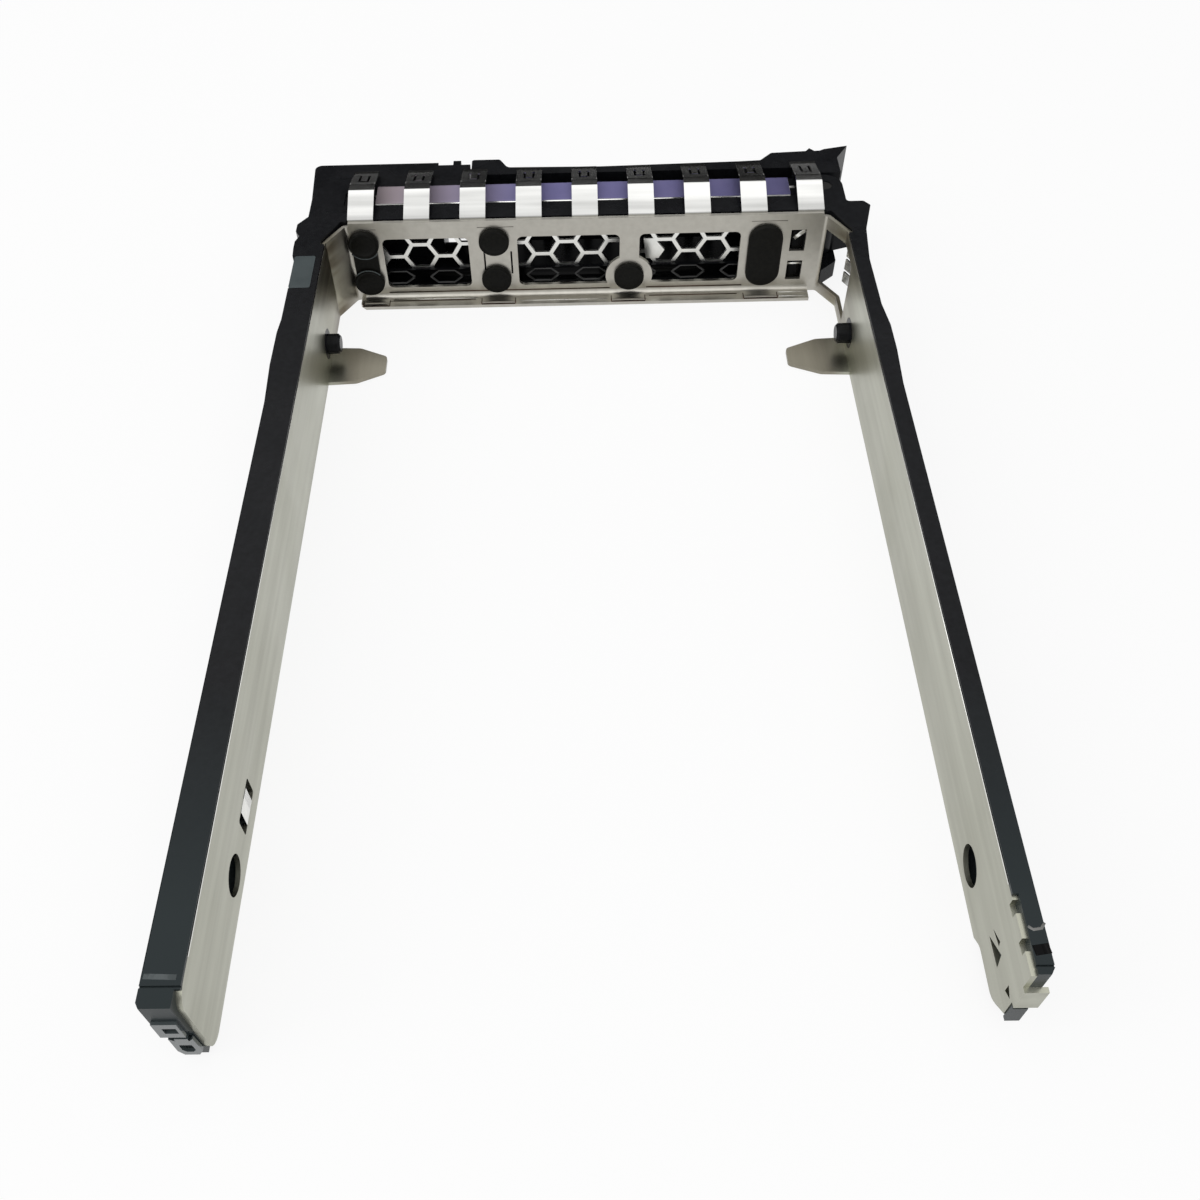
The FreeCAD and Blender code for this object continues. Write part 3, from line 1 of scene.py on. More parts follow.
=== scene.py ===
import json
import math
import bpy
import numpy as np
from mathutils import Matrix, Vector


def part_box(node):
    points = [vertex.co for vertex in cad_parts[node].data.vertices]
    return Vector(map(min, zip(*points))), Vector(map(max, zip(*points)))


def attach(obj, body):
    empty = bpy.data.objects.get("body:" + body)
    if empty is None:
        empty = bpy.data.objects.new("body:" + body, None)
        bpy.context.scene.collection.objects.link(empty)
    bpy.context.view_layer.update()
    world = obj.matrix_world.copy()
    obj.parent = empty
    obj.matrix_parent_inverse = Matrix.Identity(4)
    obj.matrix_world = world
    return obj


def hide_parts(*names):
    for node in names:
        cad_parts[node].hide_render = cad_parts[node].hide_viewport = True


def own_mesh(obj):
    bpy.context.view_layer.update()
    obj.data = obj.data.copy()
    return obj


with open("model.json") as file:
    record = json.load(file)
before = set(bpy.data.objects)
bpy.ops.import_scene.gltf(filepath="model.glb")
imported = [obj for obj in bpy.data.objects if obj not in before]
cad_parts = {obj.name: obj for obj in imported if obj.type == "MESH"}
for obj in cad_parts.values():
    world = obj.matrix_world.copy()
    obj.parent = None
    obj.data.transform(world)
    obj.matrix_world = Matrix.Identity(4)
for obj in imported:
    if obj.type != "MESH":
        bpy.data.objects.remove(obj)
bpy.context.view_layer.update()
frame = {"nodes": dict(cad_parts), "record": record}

# %% [markdown]
# # A hot swap drive caddy
#
# The caddy is a U of folded stainless sheet behind a moulded black bezel. Every rigid piece
# arrives from the CAD model, so this lesson dresses those pieces, adds thin ones that are
# easier to make as smooth surfaces, and sets up the studio. Blender works in metres. Places
# are written here in millimetres, as on a drawing, and become metres when a mesh is made.

MM = 0.001


def box_mm(name):
    """A node's lowest and highest corners in millimetres, to the nearest micrometre."""
    low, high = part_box(name)
    return np.round(np.array(low) / MM, 3), np.round(np.array(high) / MM, 3)

# %% [markdown]
# ## The camera
#
# The view looks down over the open end of the U towards the bezel, so the arms spread wide
# in front. It could be framed by tilting the camera, but that would change the perspective.
# A small shift slides the picture in its frame instead and leaves the view as it is.

# %% The camera
CAMERA_PLACE = (-0.00114, -0.140655, 0.113297)
CAMERA_TURN = (38.9993, 1.4543, -0.1295)
LENS = 36.772
SENSOR = 36.0
SHIFT = (0.0331, -0.0341)
NEAREST = 0.005

camera_data = bpy.data.cameras.new("camera")
camera_data.lens = LENS
camera_data.sensor_width = SENSOR
camera_data.shift_x, camera_data.shift_y = SHIFT
camera_data.clip_start = NEAREST
camera = bpy.data.objects.new("camera", camera_data)
camera.location = CAMERA_PLACE
camera.rotation_euler = [math.radians(angle) for angle in CAMERA_TURN]
bpy.context.scene.collection.objects.link(camera)
bpy.context.scene.camera = camera
bpy.context.scene.view_settings.view_transform = "Standard"
print("the camera stands", round(math.dist(CAMERA_PLACE, (0, 0, 0)) / MM), "mm from the origin")

# %% [markdown]
# ## Helpers for node graphs
#
# A material is a graph of small nodes. It could be drawn by hand in the editor, but written
# out it can be read, repeated and given other values. Here an output is always a pair: the
# node, and the name or number of its socket. Where a helper takes an input, it takes either
# such a pair, which it joins, or a plain value.

# %% Helpers for node graphs
def feed(tree, target, inputs):
    """Fills a node's inputs: a pair (node, output) is joined, a plain value is written."""
    for name, value in dict(inputs).items():
        if isinstance(value, tuple) and isinstance(value[0], bpy.types.Node):
            source, output = value
            tree.links.new(source.outputs[output], target.inputs[name])
        else:
            target.inputs[name].default_value = value


def node(tree, kind, inputs=(), **settings):
    """Adds a node, sets its properties by name, then fills its inputs."""
    made = tree.nodes.new(kind)
    for name, value in settings.items():
        setattr(made, name, value)
    feed(tree, made, inputs)
    return made


def new_group(name, inputs, outputs):
    """A node group with named sockets: (name, kind, default) in, and (name, kind) out."""
    group = bpy.data.node_groups.new(name, "ShaderNodeTree")
    for label, kind, value in inputs:
        socket = group.interface.new_socket(label, in_out="INPUT",
                                            socket_type="NodeSocket" + kind)
        socket.default_value = value
    for label, kind in outputs:
        group.interface.new_socket(label, in_out="OUTPUT", socket_type="NodeSocket" + kind)
    print("a group for", name)
    return group, group.nodes.new("NodeGroupInput"), group.nodes.new("NodeGroupOutput")


def new_material(name):
    """A material, its graph and its shader."""
    material = bpy.data.materials.new(name)
    material.use_nodes = True
    print("a material for", name)
    return material, material.node_tree, material.node_tree.nodes["Principled BSDF"]

# %% Helpers for places, masks and colours
def grey(level):
    """A neutral colour."""
    return (level, level, level, 1.0)


def object_place(tree):
    """The object's own coordinates, which stay with a piece as it moves."""
    return node(tree, "ShaderNodeTexCoord"), "Object"


def drawn_noise(tree, stretch, detail, roughness):
    """Noise at the object's coordinates times a stretch: it is fine along an axis with a
    large factor, and drawn out along one with a small factor."""
    scaled = node(tree, "ShaderNodeVectorMath", {0: object_place(tree), 1: stretch},
                  operation="MULTIPLY")
    return node(tree, "ShaderNodeTexNoise", {
        "Vector": (scaled, 0), "Scale": 1.0, "Detail": detail, "Roughness": roughness}), "Fac"


def between(tree, value, start, end):
    """A mask that is 0 up to the start, 1 from the end on, and straight between them."""
    return node(tree, "ShaderNodeMapRange", {
        "Value": value, "From Min": start, "From Max": end}), "Result"


def tone_ramp(tree, mask, low, high, start, end):
    """A colour that goes from the low tone to the high one between two levels of a mask."""
    ramp = node(tree, "ShaderNodeValToRGB", {"Fac": mask})
    first, last = ramp.color_ramp.elements
    first.position, last.position = start, end
    first.color, last.color = low, high
    return ramp, "Color"


def blend(tree, mask, first, second, kind="MIX"):
    """The first colour where the mask is 0 and the second, or their product, where it is 1."""
    return node(tree, "ShaderNodeMix", {"Factor": mask, "A": first, "B": second},
                data_type="RGBA", blend_type=kind), "Result"

# %% [markdown]
# ## Shared surface effects
#
# Rolled sheet has a grain: hair-thin lines that run one way and stretch every highlight
# across them. Moulded plastic has a spark-eroded grain with no direction. Handling leaves
# soft smudges on both. An image wrapped round each piece could give them, but noise read at
# the object's own coordinates has no seams. Each effect is a group, so that every material
# takes it with its own scale and depth.

# %% The rolled grain of sheet metal
def rolled_grain_group():
    """Noise drawn out along the rolling direction, as a mask and as a slight relief."""
    group, given, result = new_group(
        "rolled grain", [("Stretch", "Vector", (1.0, 1.0, 1.0)), ("Depth", "Float", 0.05)],
        [("Mask", "Float"), ("Normal", "Vector")])
    lines = drawn_noise(group, (given, "Stretch"), detail=4.0, roughness=0.6)
    bump = node(group, "ShaderNodeBump", {
        "Height": lines, "Strength": (given, "Depth"), "Distance": 0.00002})
    feed(group, result, {"Mask": lines, "Normal": (bump, "Normal")})
    return group


ROLLED_GRAIN = rolled_grain_group()

# %% The grain of moulded plastic and rubber
def moulded_grain_group():
    """Fine noise without a direction, as the texture of a mould leaves it."""
    group, given, result = new_group(
        "moulded grain", [("Scale", "Float", 4000.0), ("Depth", "Float", 0.2)],
        [("Mask", "Float"), ("Normal", "Vector")])
    grain = node(group, "ShaderNodeTexNoise", {
        "Vector": object_place(group), "Scale": (given, "Scale"), "Detail": 3.0,
        "Roughness": 0.55})
    bump = node(group, "ShaderNodeBump", {
        "Height": (grain, "Fac"), "Strength": (given, "Depth"), "Distance": 0.00004})
    feed(group, result, {"Mask": (grain, "Fac"), "Normal": (bump, "Normal")})
    return group


MOULDED_GRAIN = moulded_grain_group()

# %% Smudges from handling
def smudge_group():
    """Broad soft patches: the middle of a noise's range, spread over two roughness levels."""
    group, given, result = new_group(
        "handling smudges",
        [("Scale", "Float", 60.0), ("Low", "Float", 0.3), ("High", "Float", 0.45)],
        [("Value", "Float")])
    patches = node(group, "ShaderNodeTexNoise", {
        "Vector": object_place(group), "Scale": (given, "Scale"), "Detail": 3.0,
        "Roughness": 0.5, "Distortion": 0.4})
    spread = node(group, "ShaderNodeMapRange", {
        "Value": (patches, "Fac"), "From Min": 0.3, "From Max": 0.7,
        "To Min": (given, "Low"), "To Max": (given, "High")})
    feed(group, result, {"Value": (spread, "Result")})
    return group


SMUDGES = smudge_group()

# %% [markdown]
# ## Colours that change along a piece
#
# Next to the corner bends the sheet gets dark painted reflections, and the polished fingers
# get painted reflection bands across their arch. The painted violet reflection on the cap and
# the painted sheen on the rails shift in colour from one end to the other. Separate materials
# would meet at a hard line, so each of these is a colour that depends on the place: noise
# between two tones, or one colour that gives way to another.

# %% Painted reflection bands across the fingers
BAND_LEVELS = (0.38, 0.62)


def finger_reflection_band_group():
    """Painted reflection bands: noise drawn out along the strip, from grey to white."""
    group, _, result = new_group("painted finger reflections", [], [("Color", "Color")])
    lines = drawn_noise(group, (18.0, 330.0, 330.0), detail=2.5, roughness=0.55)
    feed(group, result, {"Color": tone_ramp(group, lines, grey(0.62), grey(1.0), *BAND_LEVELS)})
    return group


PAINTED_FINGER_REFLECTIONS = finger_reflection_band_group()

# %% Streaks and painted reflections along the arms
def arm_streak_and_reflection_group():
    """Streaks on the arms only: dark brown painted reflections next to the corner bends, and
    faint greenish streaks of grain along the rest. The drive supports get painted shade, and
    the flat plate stays even."""
    group, _, result = new_group("arm streaks and painted light", [], [("Color", "Color")])
    lines = drawn_noise(group, (160.0, 14.0, 380.0), detail=2.5, roughness=0.55)
    # Painted reflections: dark brown streaks next to the corner bends.
    corner_reflections = tone_ramp(group, lines, (0.34, 0.30, 0.24, 1), (0.80, 0.79, 0.70, 1), *BAND_LEVELS)
    faint = tone_ramp(group, lines, (0.80, 0.83, 0.76, 1), (0.93, 0.97, 0.90, 1), *BAND_LEVELS)
    apart = node(group, "ShaderNodeSeparateXYZ", {0: object_place(group)})
    to_side = node(group, "ShaderNodeMath", {0: (apart, "X")}, operation="ABSOLUTE")
    on_arm = between(group, (to_side, 0), 0.0325, 0.0345)
    near_corner = between(group, (apart, "Y"), -0.016, -0.006)
    on_support = between(group, (apart, "Y"), -0.006, -0.009)
    # Painted shade: the drive supports are darkened and warmed.
    middle = blend(group, on_support, grey(1.0), (0.60, 0.58, 0.52, 1))
    arms = blend(group, near_corner, faint, corner_reflections)
    feed(group, result, {"Color": blend(group, on_arm, middle, arms)})
    return group


ARM_STREAKS_AND_PAINTED_LIGHT = arm_streak_and_reflection_group()

# %% One colour that gives way to another
def tint_group():
    """The colour up to the start, the tint from the end on, and a blend between them. The
    place is measured along the axis: it is the dot product of the two."""
    group, given, result = new_group(
        "tint along an axis",
        [("Color", "Color", grey(1.0)), ("Tint", "Color", grey(1.0)),
         ("Axis", "Vector", (1.0, 0.0, 0.0)), ("Start", "Float", 0.0), ("End", "Float", 1.0)],
        [("Color", "Color")])
    along = node(group, "ShaderNodeVectorMath", {0: object_place(group), 1: (given, "Axis")},
                 operation="DOT_PRODUCT")
    mask = between(group, (along, "Value"), (given, "Start"), (given, "End"))
    feed(group, result, {"Color": blend(group, mask, (given, "Color"), (given, "Tint"))})
    return group


TINT = tint_group()

# %% [markdown]
# ## The metals
#
# The folded frame is dull rolled stainless, and the spring strip is polished. The shield is
# etched and nearly white, a bright metal paints highlights on edges, a dull or brown one
# paints shade in seams, and the pins and wires are blackened. They could all share one
# metal, but they differ in colour, in how evenly they shine and in where their grain runs,
# so one function makes each from those.

# %% A metal from its finish
METAL_LEVELS = (0.25, 0.75)


def metal(name, low, high, gloss, stretch, depth, shade=None):
    """Metal whose colour runs between two tones over its grain, with smudged gloss.

    gloss holds the lowest and highest roughness. shade is a group whose Color multiplies
    the metal's own."""
    material, tree, shader = new_material(name)
    grain = node(tree, "ShaderNodeGroup", {"Stretch": stretch, "Depth": depth},
                 node_tree=ROLLED_GRAIN)
    smudges = node(tree, "ShaderNodeGroup", {"Low": gloss[0], "High": gloss[1]},
                   node_tree=SMUDGES)
    colour = tone_ramp(tree, (grain, "Mask"), low, high, *METAL_LEVELS)
    if shade is not None:
        shading = node(tree, "ShaderNodeGroup", node_tree=shade)
        colour = blend(tree, 1.0, colour, (shading, "Color"), kind="MULTIPLY")
    feed(tree, shader, {"Metallic": 1.0, "Base Color": colour,
                        "Roughness": (smudges, "Value"), "Normal": (grain, "Normal")})
    return material

# %% The metals of the CAD pieces
# The arm group paints dark reflections by the corner bends and shade on the drive supports.
STAINLESS = metal("rolled stainless", (0.40, 0.385, 0.345, 1), (0.47, 0.455, 0.41, 1),
                  gloss=(0.27, 0.40), stretch=(900, 60, 900), depth=0.30, shade=ARM_STREAKS_AND_PAINTED_LIGHT)
# The finger group paints reflections: grey and white bands across the polished arch.
SPRING_STRIP = metal("polished spring strip", (0.58, 0.58, 0.565, 1), (0.65, 0.65, 0.635, 1),
                     gloss=(0.11, 0.18), stretch=(60, 120, 120), depth=0.0,
                     shade=PAINTED_FINGER_REFLECTIONS)
BRIGHT_WEBS = metal("etched shield", (0.74, 0.74, 0.71, 1), (0.86, 0.86, 0.83, 1),
                    gloss=(0.30, 0.42), stretch=(500, 500, 500), depth=0.05)
PIN_STEEL = metal("blackened steel", (0.030, 0.030, 0.029, 1), (0.065, 0.063, 0.060, 1),
                  gloss=(0.25, 0.40), stretch=(80, 80, 1200), depth=0.20)

# %% The metals that paint edge highlights and seam shade
# Painted highlight: a metal brighter than the stainless, for bright edge lines.
EDGE_HIGHLIGHT = metal("painted edge highlight", (0.70, 0.70, 0.67, 1), (0.92, 0.92, 0.89, 1),
                 gloss=(0.22, 0.34), stretch=(400, 400, 400), depth=0.05)
# Painted shade: dark metals for the lines of seams and grooves.
BROWN_SEAM_SHADE = metal("brown shaded seam", (0.045, 0.028, 0.022, 1), (0.10, 0.065, 0.05, 1),
                   gloss=(0.30, 0.45), stretch=(200, 200, 200), depth=0.05)
SEAM_SHADE = metal("seam in shade", (0.10, 0.095, 0.085, 1), (0.17, 0.16, 0.145, 1),
                   gloss=(0.35, 0.50), stretch=(200, 200, 200), depth=0.05)

# %% [markdown]
# ## Plastic and rubber
#
# Black mouldings are never quite black: grain scatters a little grey light, and skin oils
# leave shinier patches. Rubber is duller and warmer. A plain dark colour would look like a
# cut-out, so the colour, the gloss and the relief all vary a little, through the same two
# groups each time. A painted sheen greys the rails' plastic towards the rear, and the
# painted violet reflection fades to pink at its left end.

# %% A moulding from its finish
MOULDING_LEVELS = (0.3, 0.7)
SMUDGE_SCALE = 110.0
COAT_ROUGHNESS = 0.08


def moulding(name, low, high, gloss, scale, depth=0.0, coat=0.0, specular=0.22, tint=None):
    """Plastic or rubber whose colour and gloss vary softly over its grain.

    gloss holds the lowest and highest roughness, and tint the values of the tint group."""
    material, tree, shader = new_material(name)
    grain = node(tree, "ShaderNodeGroup", {"Scale": scale, "Depth": depth},
                 node_tree=MOULDED_GRAIN)
    smudges = node(tree, "ShaderNodeGroup",
                   {"Scale": SMUDGE_SCALE, "Low": gloss[0], "High": gloss[1]},
                   node_tree=SMUDGES)
    colour = tone_ramp(tree, (grain, "Mask"), low, high, *MOULDING_LEVELS)
    if tint is not None:
        colour = node(tree, "ShaderNodeGroup", {"Color": colour, **tint},
                      node_tree=TINT), "Color"
    feed(tree, shader, {"Base Color": colour, "Roughness": (smudges, "Value"),
                        "Normal": (grain, "Normal"), "Coat Weight": coat,
                        "Coat Roughness": COAT_ROUGHNESS, "Specular IOR Level": specular})
    return material

# %% The mouldings of the CAD pieces
# The tint paints a sheen: the rails' plastic turns lighter and bluer towards their rear ends.
BLACK_PLASTIC = moulding("moulded black plastic with painted rear sheen", (0.0048, 0.005, 0.006, 1),
                         (0.0085, 0.009, 0.0105, 1), gloss=(0.20, 0.36), scale=1600.0,
                         depth=0.08, specular=0.11,
                         tint={"Tint": (0.020, 0.027, 0.029, 1), "Axis": (0.0, 1.0, 0.0),
                               "Start": -0.074, "End": -0.098})
GREY_PLASTIC = moulding("moulded dark grey plastic", (0.0035, 0.004, 0.0045, 1),
                        (0.0075, 0.009, 0.010, 1), gloss=(0.20, 0.36), scale=70.0,
                        specular=0.06)
RUBBER = moulding("soft black rubber", (0.0045, 0.0045, 0.0038, 1),
                  (0.0085, 0.0083, 0.0070, 1), gloss=(0.38, 0.50), scale=2500.0, depth=0.10,
                  specular=0.07)
# The smoked material also paints the pale glints on the left bumper and the left rail.
SMOKE_CLEAR_AND_GLINTS = moulding("smoked light pipe, also painted glints", (0.054, 0.067, 0.070, 1),
                       (0.070, 0.085, 0.088, 1), gloss=(0.12, 0.22), scale=300.0, coat=0.3)

# %% The mouldings of the added pieces
# Polished black for the liners, and painted shade in the gaps along the arms and in a band on
# the right rail.
GLOSS_BLACK_AND_SHADE = moulding("polished black, also painted shade", (0.0012, 0.0012, 0.0014, 1),
                       (0.0020, 0.0020, 0.0022, 1), gloss=(0.12, 0.25), scale=300.0,
                       specular=0.06)
# Painted shade: a dim copy of the webs, for the cells painted over the liner.
DIM_WEB = moulding("webs in shade", (0.018, 0.018, 0.018, 1), (0.040, 0.040, 0.039, 1),
                   gloss=(0.20, 0.35), scale=400.0)
# Painted highlight: a pale grey for the bright edges of the fingers and a glint on the right
# rail.
PALE_HIGHLIGHT = moulding("painted pale highlight", (0.14, 0.14, 0.135, 1), (0.26, 0.26, 0.25, 1),
                     gloss=(0.20, 0.30), scale=400.0)
# Painted reflection: a violet sheet for the glow that the cap mirrors, pinker at its left end.
PAINTED_VIOLET = moulding("painted violet reflection", (0.180, 0.170, 0.345, 1), (0.205, 0.190, 0.375, 1),
                gloss=(0.10, 0.20), scale=300.0, coat=0.3,
                tint={"Tint": (0.455, 0.385, 0.415, 1), "Axis": (1.0, 0.0, 0.0),
                      "Start": -0.008, "End": -0.028})

# %% [markdown]
# ## The CAD pieces get their finishes
#
# The record names a finish for every solid. Choosing a material piece by piece would need a
# list that has to be kept in step, so a table from finish to material dresses them all. The
# shield has the frame's finish in the record, and gets its own brighter metal.

# %% Dress the CAD pieces
FINISHES = {"stainless": STAINLESS, "spring_steel": SPRING_STRIP, "pin_steel": PIN_STEEL,
            "black_plastic": BLACK_PLASTIC, "dark_grey_plastic": GREY_PLASTIC,
            "rubber": RUBBER, "smoke_clear": SMOKE_CLEAR_AND_GLINTS}
SLOTS = {part["node"]: part["material_slot"] for part in frame["record"]["subparts"]}

for name, solid in frame["nodes"].items():
    finish = BRIGHT_WEBS if name == "honeycomb_shield" else FINISHES[SLOTS[name]]
    for slot in solid.material_slots:
        slot.material = finish
    if not solid.material_slots:
        solid.data.materials.append(finish)
    print(name, "gets", finish.name)

# %% [markdown]
# ## Small pieces as swept surfaces
#
# Sheared edges, bend lines, the violet sheet and glints are all thin forms that run along a
# path. Some lie on the cut edge of a sheet, and most of them paint light: highlights, shade
# in gaps and grooves, and a reflection. They could be booleans on the solids, but a swept
# profile is one array expression, it stays smooth at any size, and it leaves the CAD meshes
# as they are.

# %% A closed skin over rings of points
def skin(rings):
    """Rings of points joined into a closed skin: its points, side faces and end faces.

    rings[i, j] is point j of ring i. The side face (i, j) joins points j and j + 1 of rings
    i and i + 1, where j wraps round. The first and last rings get flat ends."""
    count, around = rings.shape[:2]
    index = np.arange(count * around).reshape(count, around)
    beside = np.roll(index, -1, axis=1)
    sides = np.stack([index[:-1], index[1:], beside[1:], beside[:-1]], axis=-1)
    ends = np.stack([index[0], index[-1, ::-1]])
    return rings.reshape(-1, 3), sides.reshape(-1, 4), ends

# %% Rods along a path, and straight bars
def rod(path, wide, high, up=(0.0, 0.0, 1.0), power=1.0, around=12):
    """A profile carried along a path, in millimetres.

    With T the path's direction, S = T x up and U = S x T, the surface is
    path + wide * c * S + high * s * U, where c and s are the cosine and sine of the angle
    round the profile, raised to a power: 1 gives an ellipse, and less gives a squarer bar."""
    path = np.array(path, dtype=float)
    along = np.gradient(path, axis=0)
    along /= np.linalg.norm(along, axis=1, keepdims=True)
    across = np.cross(along, up)
    across /= np.linalg.norm(across, axis=1, keepdims=True)
    rise = np.cross(across, along)
    angle = (np.arange(around) + 0.5) * 2 * np.pi / around
    cos, sin = np.cos(angle), np.sin(angle)
    flat = wide * np.sign(cos) * np.abs(cos) ** power
    tall = high * np.sign(sin) * np.abs(sin) ** power
    rings = (path[:, None] + flat[None, :, None] * across[:, None]
             + tall[None, :, None] * rise[:, None])
    return skin(rings)


def bar(left, right, y, z, wide, high, power=1.0):
    """A straight rod from side to side, at one depth and height."""
    return rod([(left, y, z), (right, y, z)], wide, high, power=power)


def strokes(corners, widths, high):
    """A straight rod from each corner to the next, each with its own width."""
    return [rod(corners[k:k + 2], wide, high) for k, wide in enumerate(widths)]

# %% A piece that rides on a body
def piece(name, skins, material, body="caddy"):
    """One object from several skins, which rides on a body."""
    points = np.concatenate([own for own, _, _ in skins]) * MM
    faces, start = [], 0
    for own, sides, ends in skins:
        faces += (sides + start).tolist() + (ends + start).tolist()
        start += len(own)
    mesh = bpy.data.meshes.new(name)
    mesh.from_pydata(points.tolist(), [], faces)
    mesh.polygons.foreach_set("use_smooth", np.ones(len(faces), dtype=bool))
    mesh.materials.append(material)
    made = bpy.data.objects.new(name, mesh)
    bpy.context.scene.collection.objects.link(made)
    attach(made, body)
    print(name, len(skins), "skins,", len(faces), "faces")
    return made

# %% [markdown]
# ## The edges of the grounding fingers
#
# Each finger is blanked from strip, and its front slope shows a bright line along both
# sides and round the tip, and round the lanced tongue in it. A bevel on the solid would
# round the edge without brightening it. A fine pale rod along each edge paints that
# highlight, and the fingers' places come from the strip's box.

# %% Painted highlights on the edges of the fingers
strip_low, strip_high = box_mm("emi_finger_strip")
FINGER_COUNT = 9
FINGER_WIDE = 3.52
FINGER_PITCH = (strip_high[0] - strip_low[0] - FINGER_WIDE) / (FINGER_COUNT - 1)
FINGER_LEFT = strip_low[0] + FINGER_PITCH * np.arange(FINGER_COUNT)
SLOPE = [(6.3, 14.90), (8.0, 14.36), (10.55, 13.54), (11.3, 13.42)]
SLOPE_EDGE = 0.07
TIP_Y, TIP_Z, TIP_INSET = 11.33, 13.42, 0.05
TONGUE_HALF, TONGUE_EDGE = 0.83, 0.06
TONGUE_FOOT, TONGUE_HEAD = (9.6, 13.86), (7.22, 14.62)


def tongue_corners(middle):
    """The tongue's outline about a finger's middle: up one side, across, and down again."""
    left, right = middle - TONGUE_HALF, middle + TONGUE_HALF
    return [(left, *TONGUE_FOOT), (left, *TONGUE_HEAD), (right, *TONGUE_HEAD),
            (right, *TONGUE_FOOT)]


edges = [rod([(left + inset, y, z) for y, z in SLOPE], SLOPE_EDGE, SLOPE_EDGE)
         for left in FINGER_LEFT for inset in (SLOPE_EDGE, FINGER_WIDE - SLOPE_EDGE)]
edges += [bar(left + TIP_INSET, left + FINGER_WIDE - TIP_INSET, TIP_Y, TIP_Z, wide=0.06,
              high=0.09) for left in FINGER_LEFT]
for left in FINGER_LEFT:
    edges += strokes(tongue_corners(left + FINGER_WIDE / 2), [TONGUE_EDGE] * 3, TONGUE_EDGE)
piece("finger_edge_highlights", edges, PALE_HIGHLIGHT)

# %% [markdown]
# ## The painted violet reflection and the edge of the cap
#
# Between the fingers the shield's cap shows a violet reflection, which a thin violet sheet
# paints, and a bright rod along its folded rear edge paints the highlight that it catches as
# one thin line. The reflection could be painted into the cap's material, but it ends short
# of the cap's edges with a straight border, which a thin sheet of its own gives. A low power
# in the profile makes that sheet flat with rounded sides.

# %% The painted violet reflection on the cap, and the painted highlight on its edge
CAP_TOP = box_mm("honeycomb_shield")[1][2]
VIOLET_ENDS, VIOLET_Y, VIOLET_HIGH = (-28.98, 28.38), 6.52, 0.03
FOLD_ENDS, FOLD_Y, FOLD_DROP, FOLD_RADIUS = (-28.9, 28.3), 4.42, 0.09, 0.13

piece("cap_painted_reflection", [bar(*VIOLET_ENDS, VIOLET_Y, CAP_TOP + VIOLET_HIGH / 2, wide=1.99,
                       high=VIOLET_HIGH, power=0.15)], PAINTED_VIOLET)
piece("cap_edge_highlight", [bar(*FOLD_ENDS, FOLD_Y, CAP_TOP - FOLD_DROP, wide=FOLD_RADIUS,
                       high=FOLD_RADIUS)], EDGE_HIGHLIGHT)

# %% [markdown]
# ## The dark liner behind the windows
#
# Below the shield the bezel's floor curls up in front of it, black and polished. It could
# be a row of flat strips, but the polish would show their joints, so its profile is one
# curve, swept sideways. The two small windows at the right have flat liners, and a bright
# strip in each paints a glint.

# %% The liner
LINER_ENDS = (-28.4, 21.7)
LINER_SHEET = 0.03
LINER_POINTS = 12


def liner_curve(share):
    """The liner's profile (y, z), from its top at share 0 to its rear lip at share 1: a
    quadratic curve, the sum of three points weighted (1 - t)^2, 2 t (1 - t) and t^2."""
    share = np.asarray(share, dtype=float)[..., None]
    top, bend, lip = np.array([(2.26, 3.28), (2.20, 2.14), (0.72, 2.09)])
    return (1 - share) ** 2 * top + 2 * share * (1 - share) * bend + share ** 2 * lip


profile = liner_curve(np.linspace(0, 1, LINER_POINTS))
section = np.concatenate([profile, profile[::-1] - (0.0, LINER_SHEET)])
rings = np.stack([np.insert(section, 0, end, axis=1) for end in LINER_ENDS])
piece("window_liner", [skin(rings)], GLOSS_BLACK_AND_SHADE)

# %% The liners of the small windows, and bright strips that paint their glints
WINDOW_ENDS, WINDOW_MIDDLES, WINDOW_HALF = (27.9, 30.8), (3.4, 8.0), 1.9
BACKING_Y, STRIP_Y, STRIP_SHEET = 0.62, 0.58, 0.03
LEVEL_STRIP = [(28.35, STRIP_Y, 4.35), (30.35, STRIP_Y, 4.40)]
SLANTED_STRIP = [(28.9, STRIP_Y, 8.6), (30.3, STRIP_Y, 9.9)]

piece("small_window_liner",
      [bar(*WINDOW_ENDS, BACKING_Y, z, wide=LINER_SHEET, high=WINDOW_HALF, power=0.2)
       for z in WINDOW_MIDDLES], GLOSS_BLACK_AND_SHADE)
piece("small_window_highlights", [rod(LEVEL_STRIP, wide=STRIP_SHEET, high=0.16),
                              rod(SLANTED_STRIP, wide=STRIP_SHEET, high=0.30)],
      EDGE_HIGHLIGHT)

# %% [markdown]
# ## Cells painted in shade on the liner
#
# Dim, flattened outlines over the liner paint the lowest row of cells in shade, as a darker
# copy of the bright webs. They could be cut into it, but an outline laid on the same curve
# follows its polish and keeps the liner whole. Each cell is a hexagon whose height is read
# as a share of the liner's curve.

# %% Outlines of the cells painted in shade
CELL = 3.99
COLUMN = 3.455
FIRST_CELL, CELL_COUNT = -26.815, 8
SHARE_MIDDLE, SHARE_REACH = 0.50, 0.44
POINTS_PER_SIDE = 6
OUTLINE_LIFT, OUTLINE_WIDE, OUTLINE_HIGH = 0.03, 0.16, 0.03
OFF_THE_LINER = (0.0, -0.6, 0.8)

angle = np.linspace(0, 2 * np.pi, 7)
corners = np.stack([np.cos(angle), np.sin(angle)], axis=1) * CELL / math.sqrt(3)
steps = np.linspace(0, 1, POINTS_PER_SIDE + 1)[:-1, None]
hexagon = (corners[:-1, None] + (corners[1:] - corners[:-1])[:, None] * steps).reshape(-1, 2)


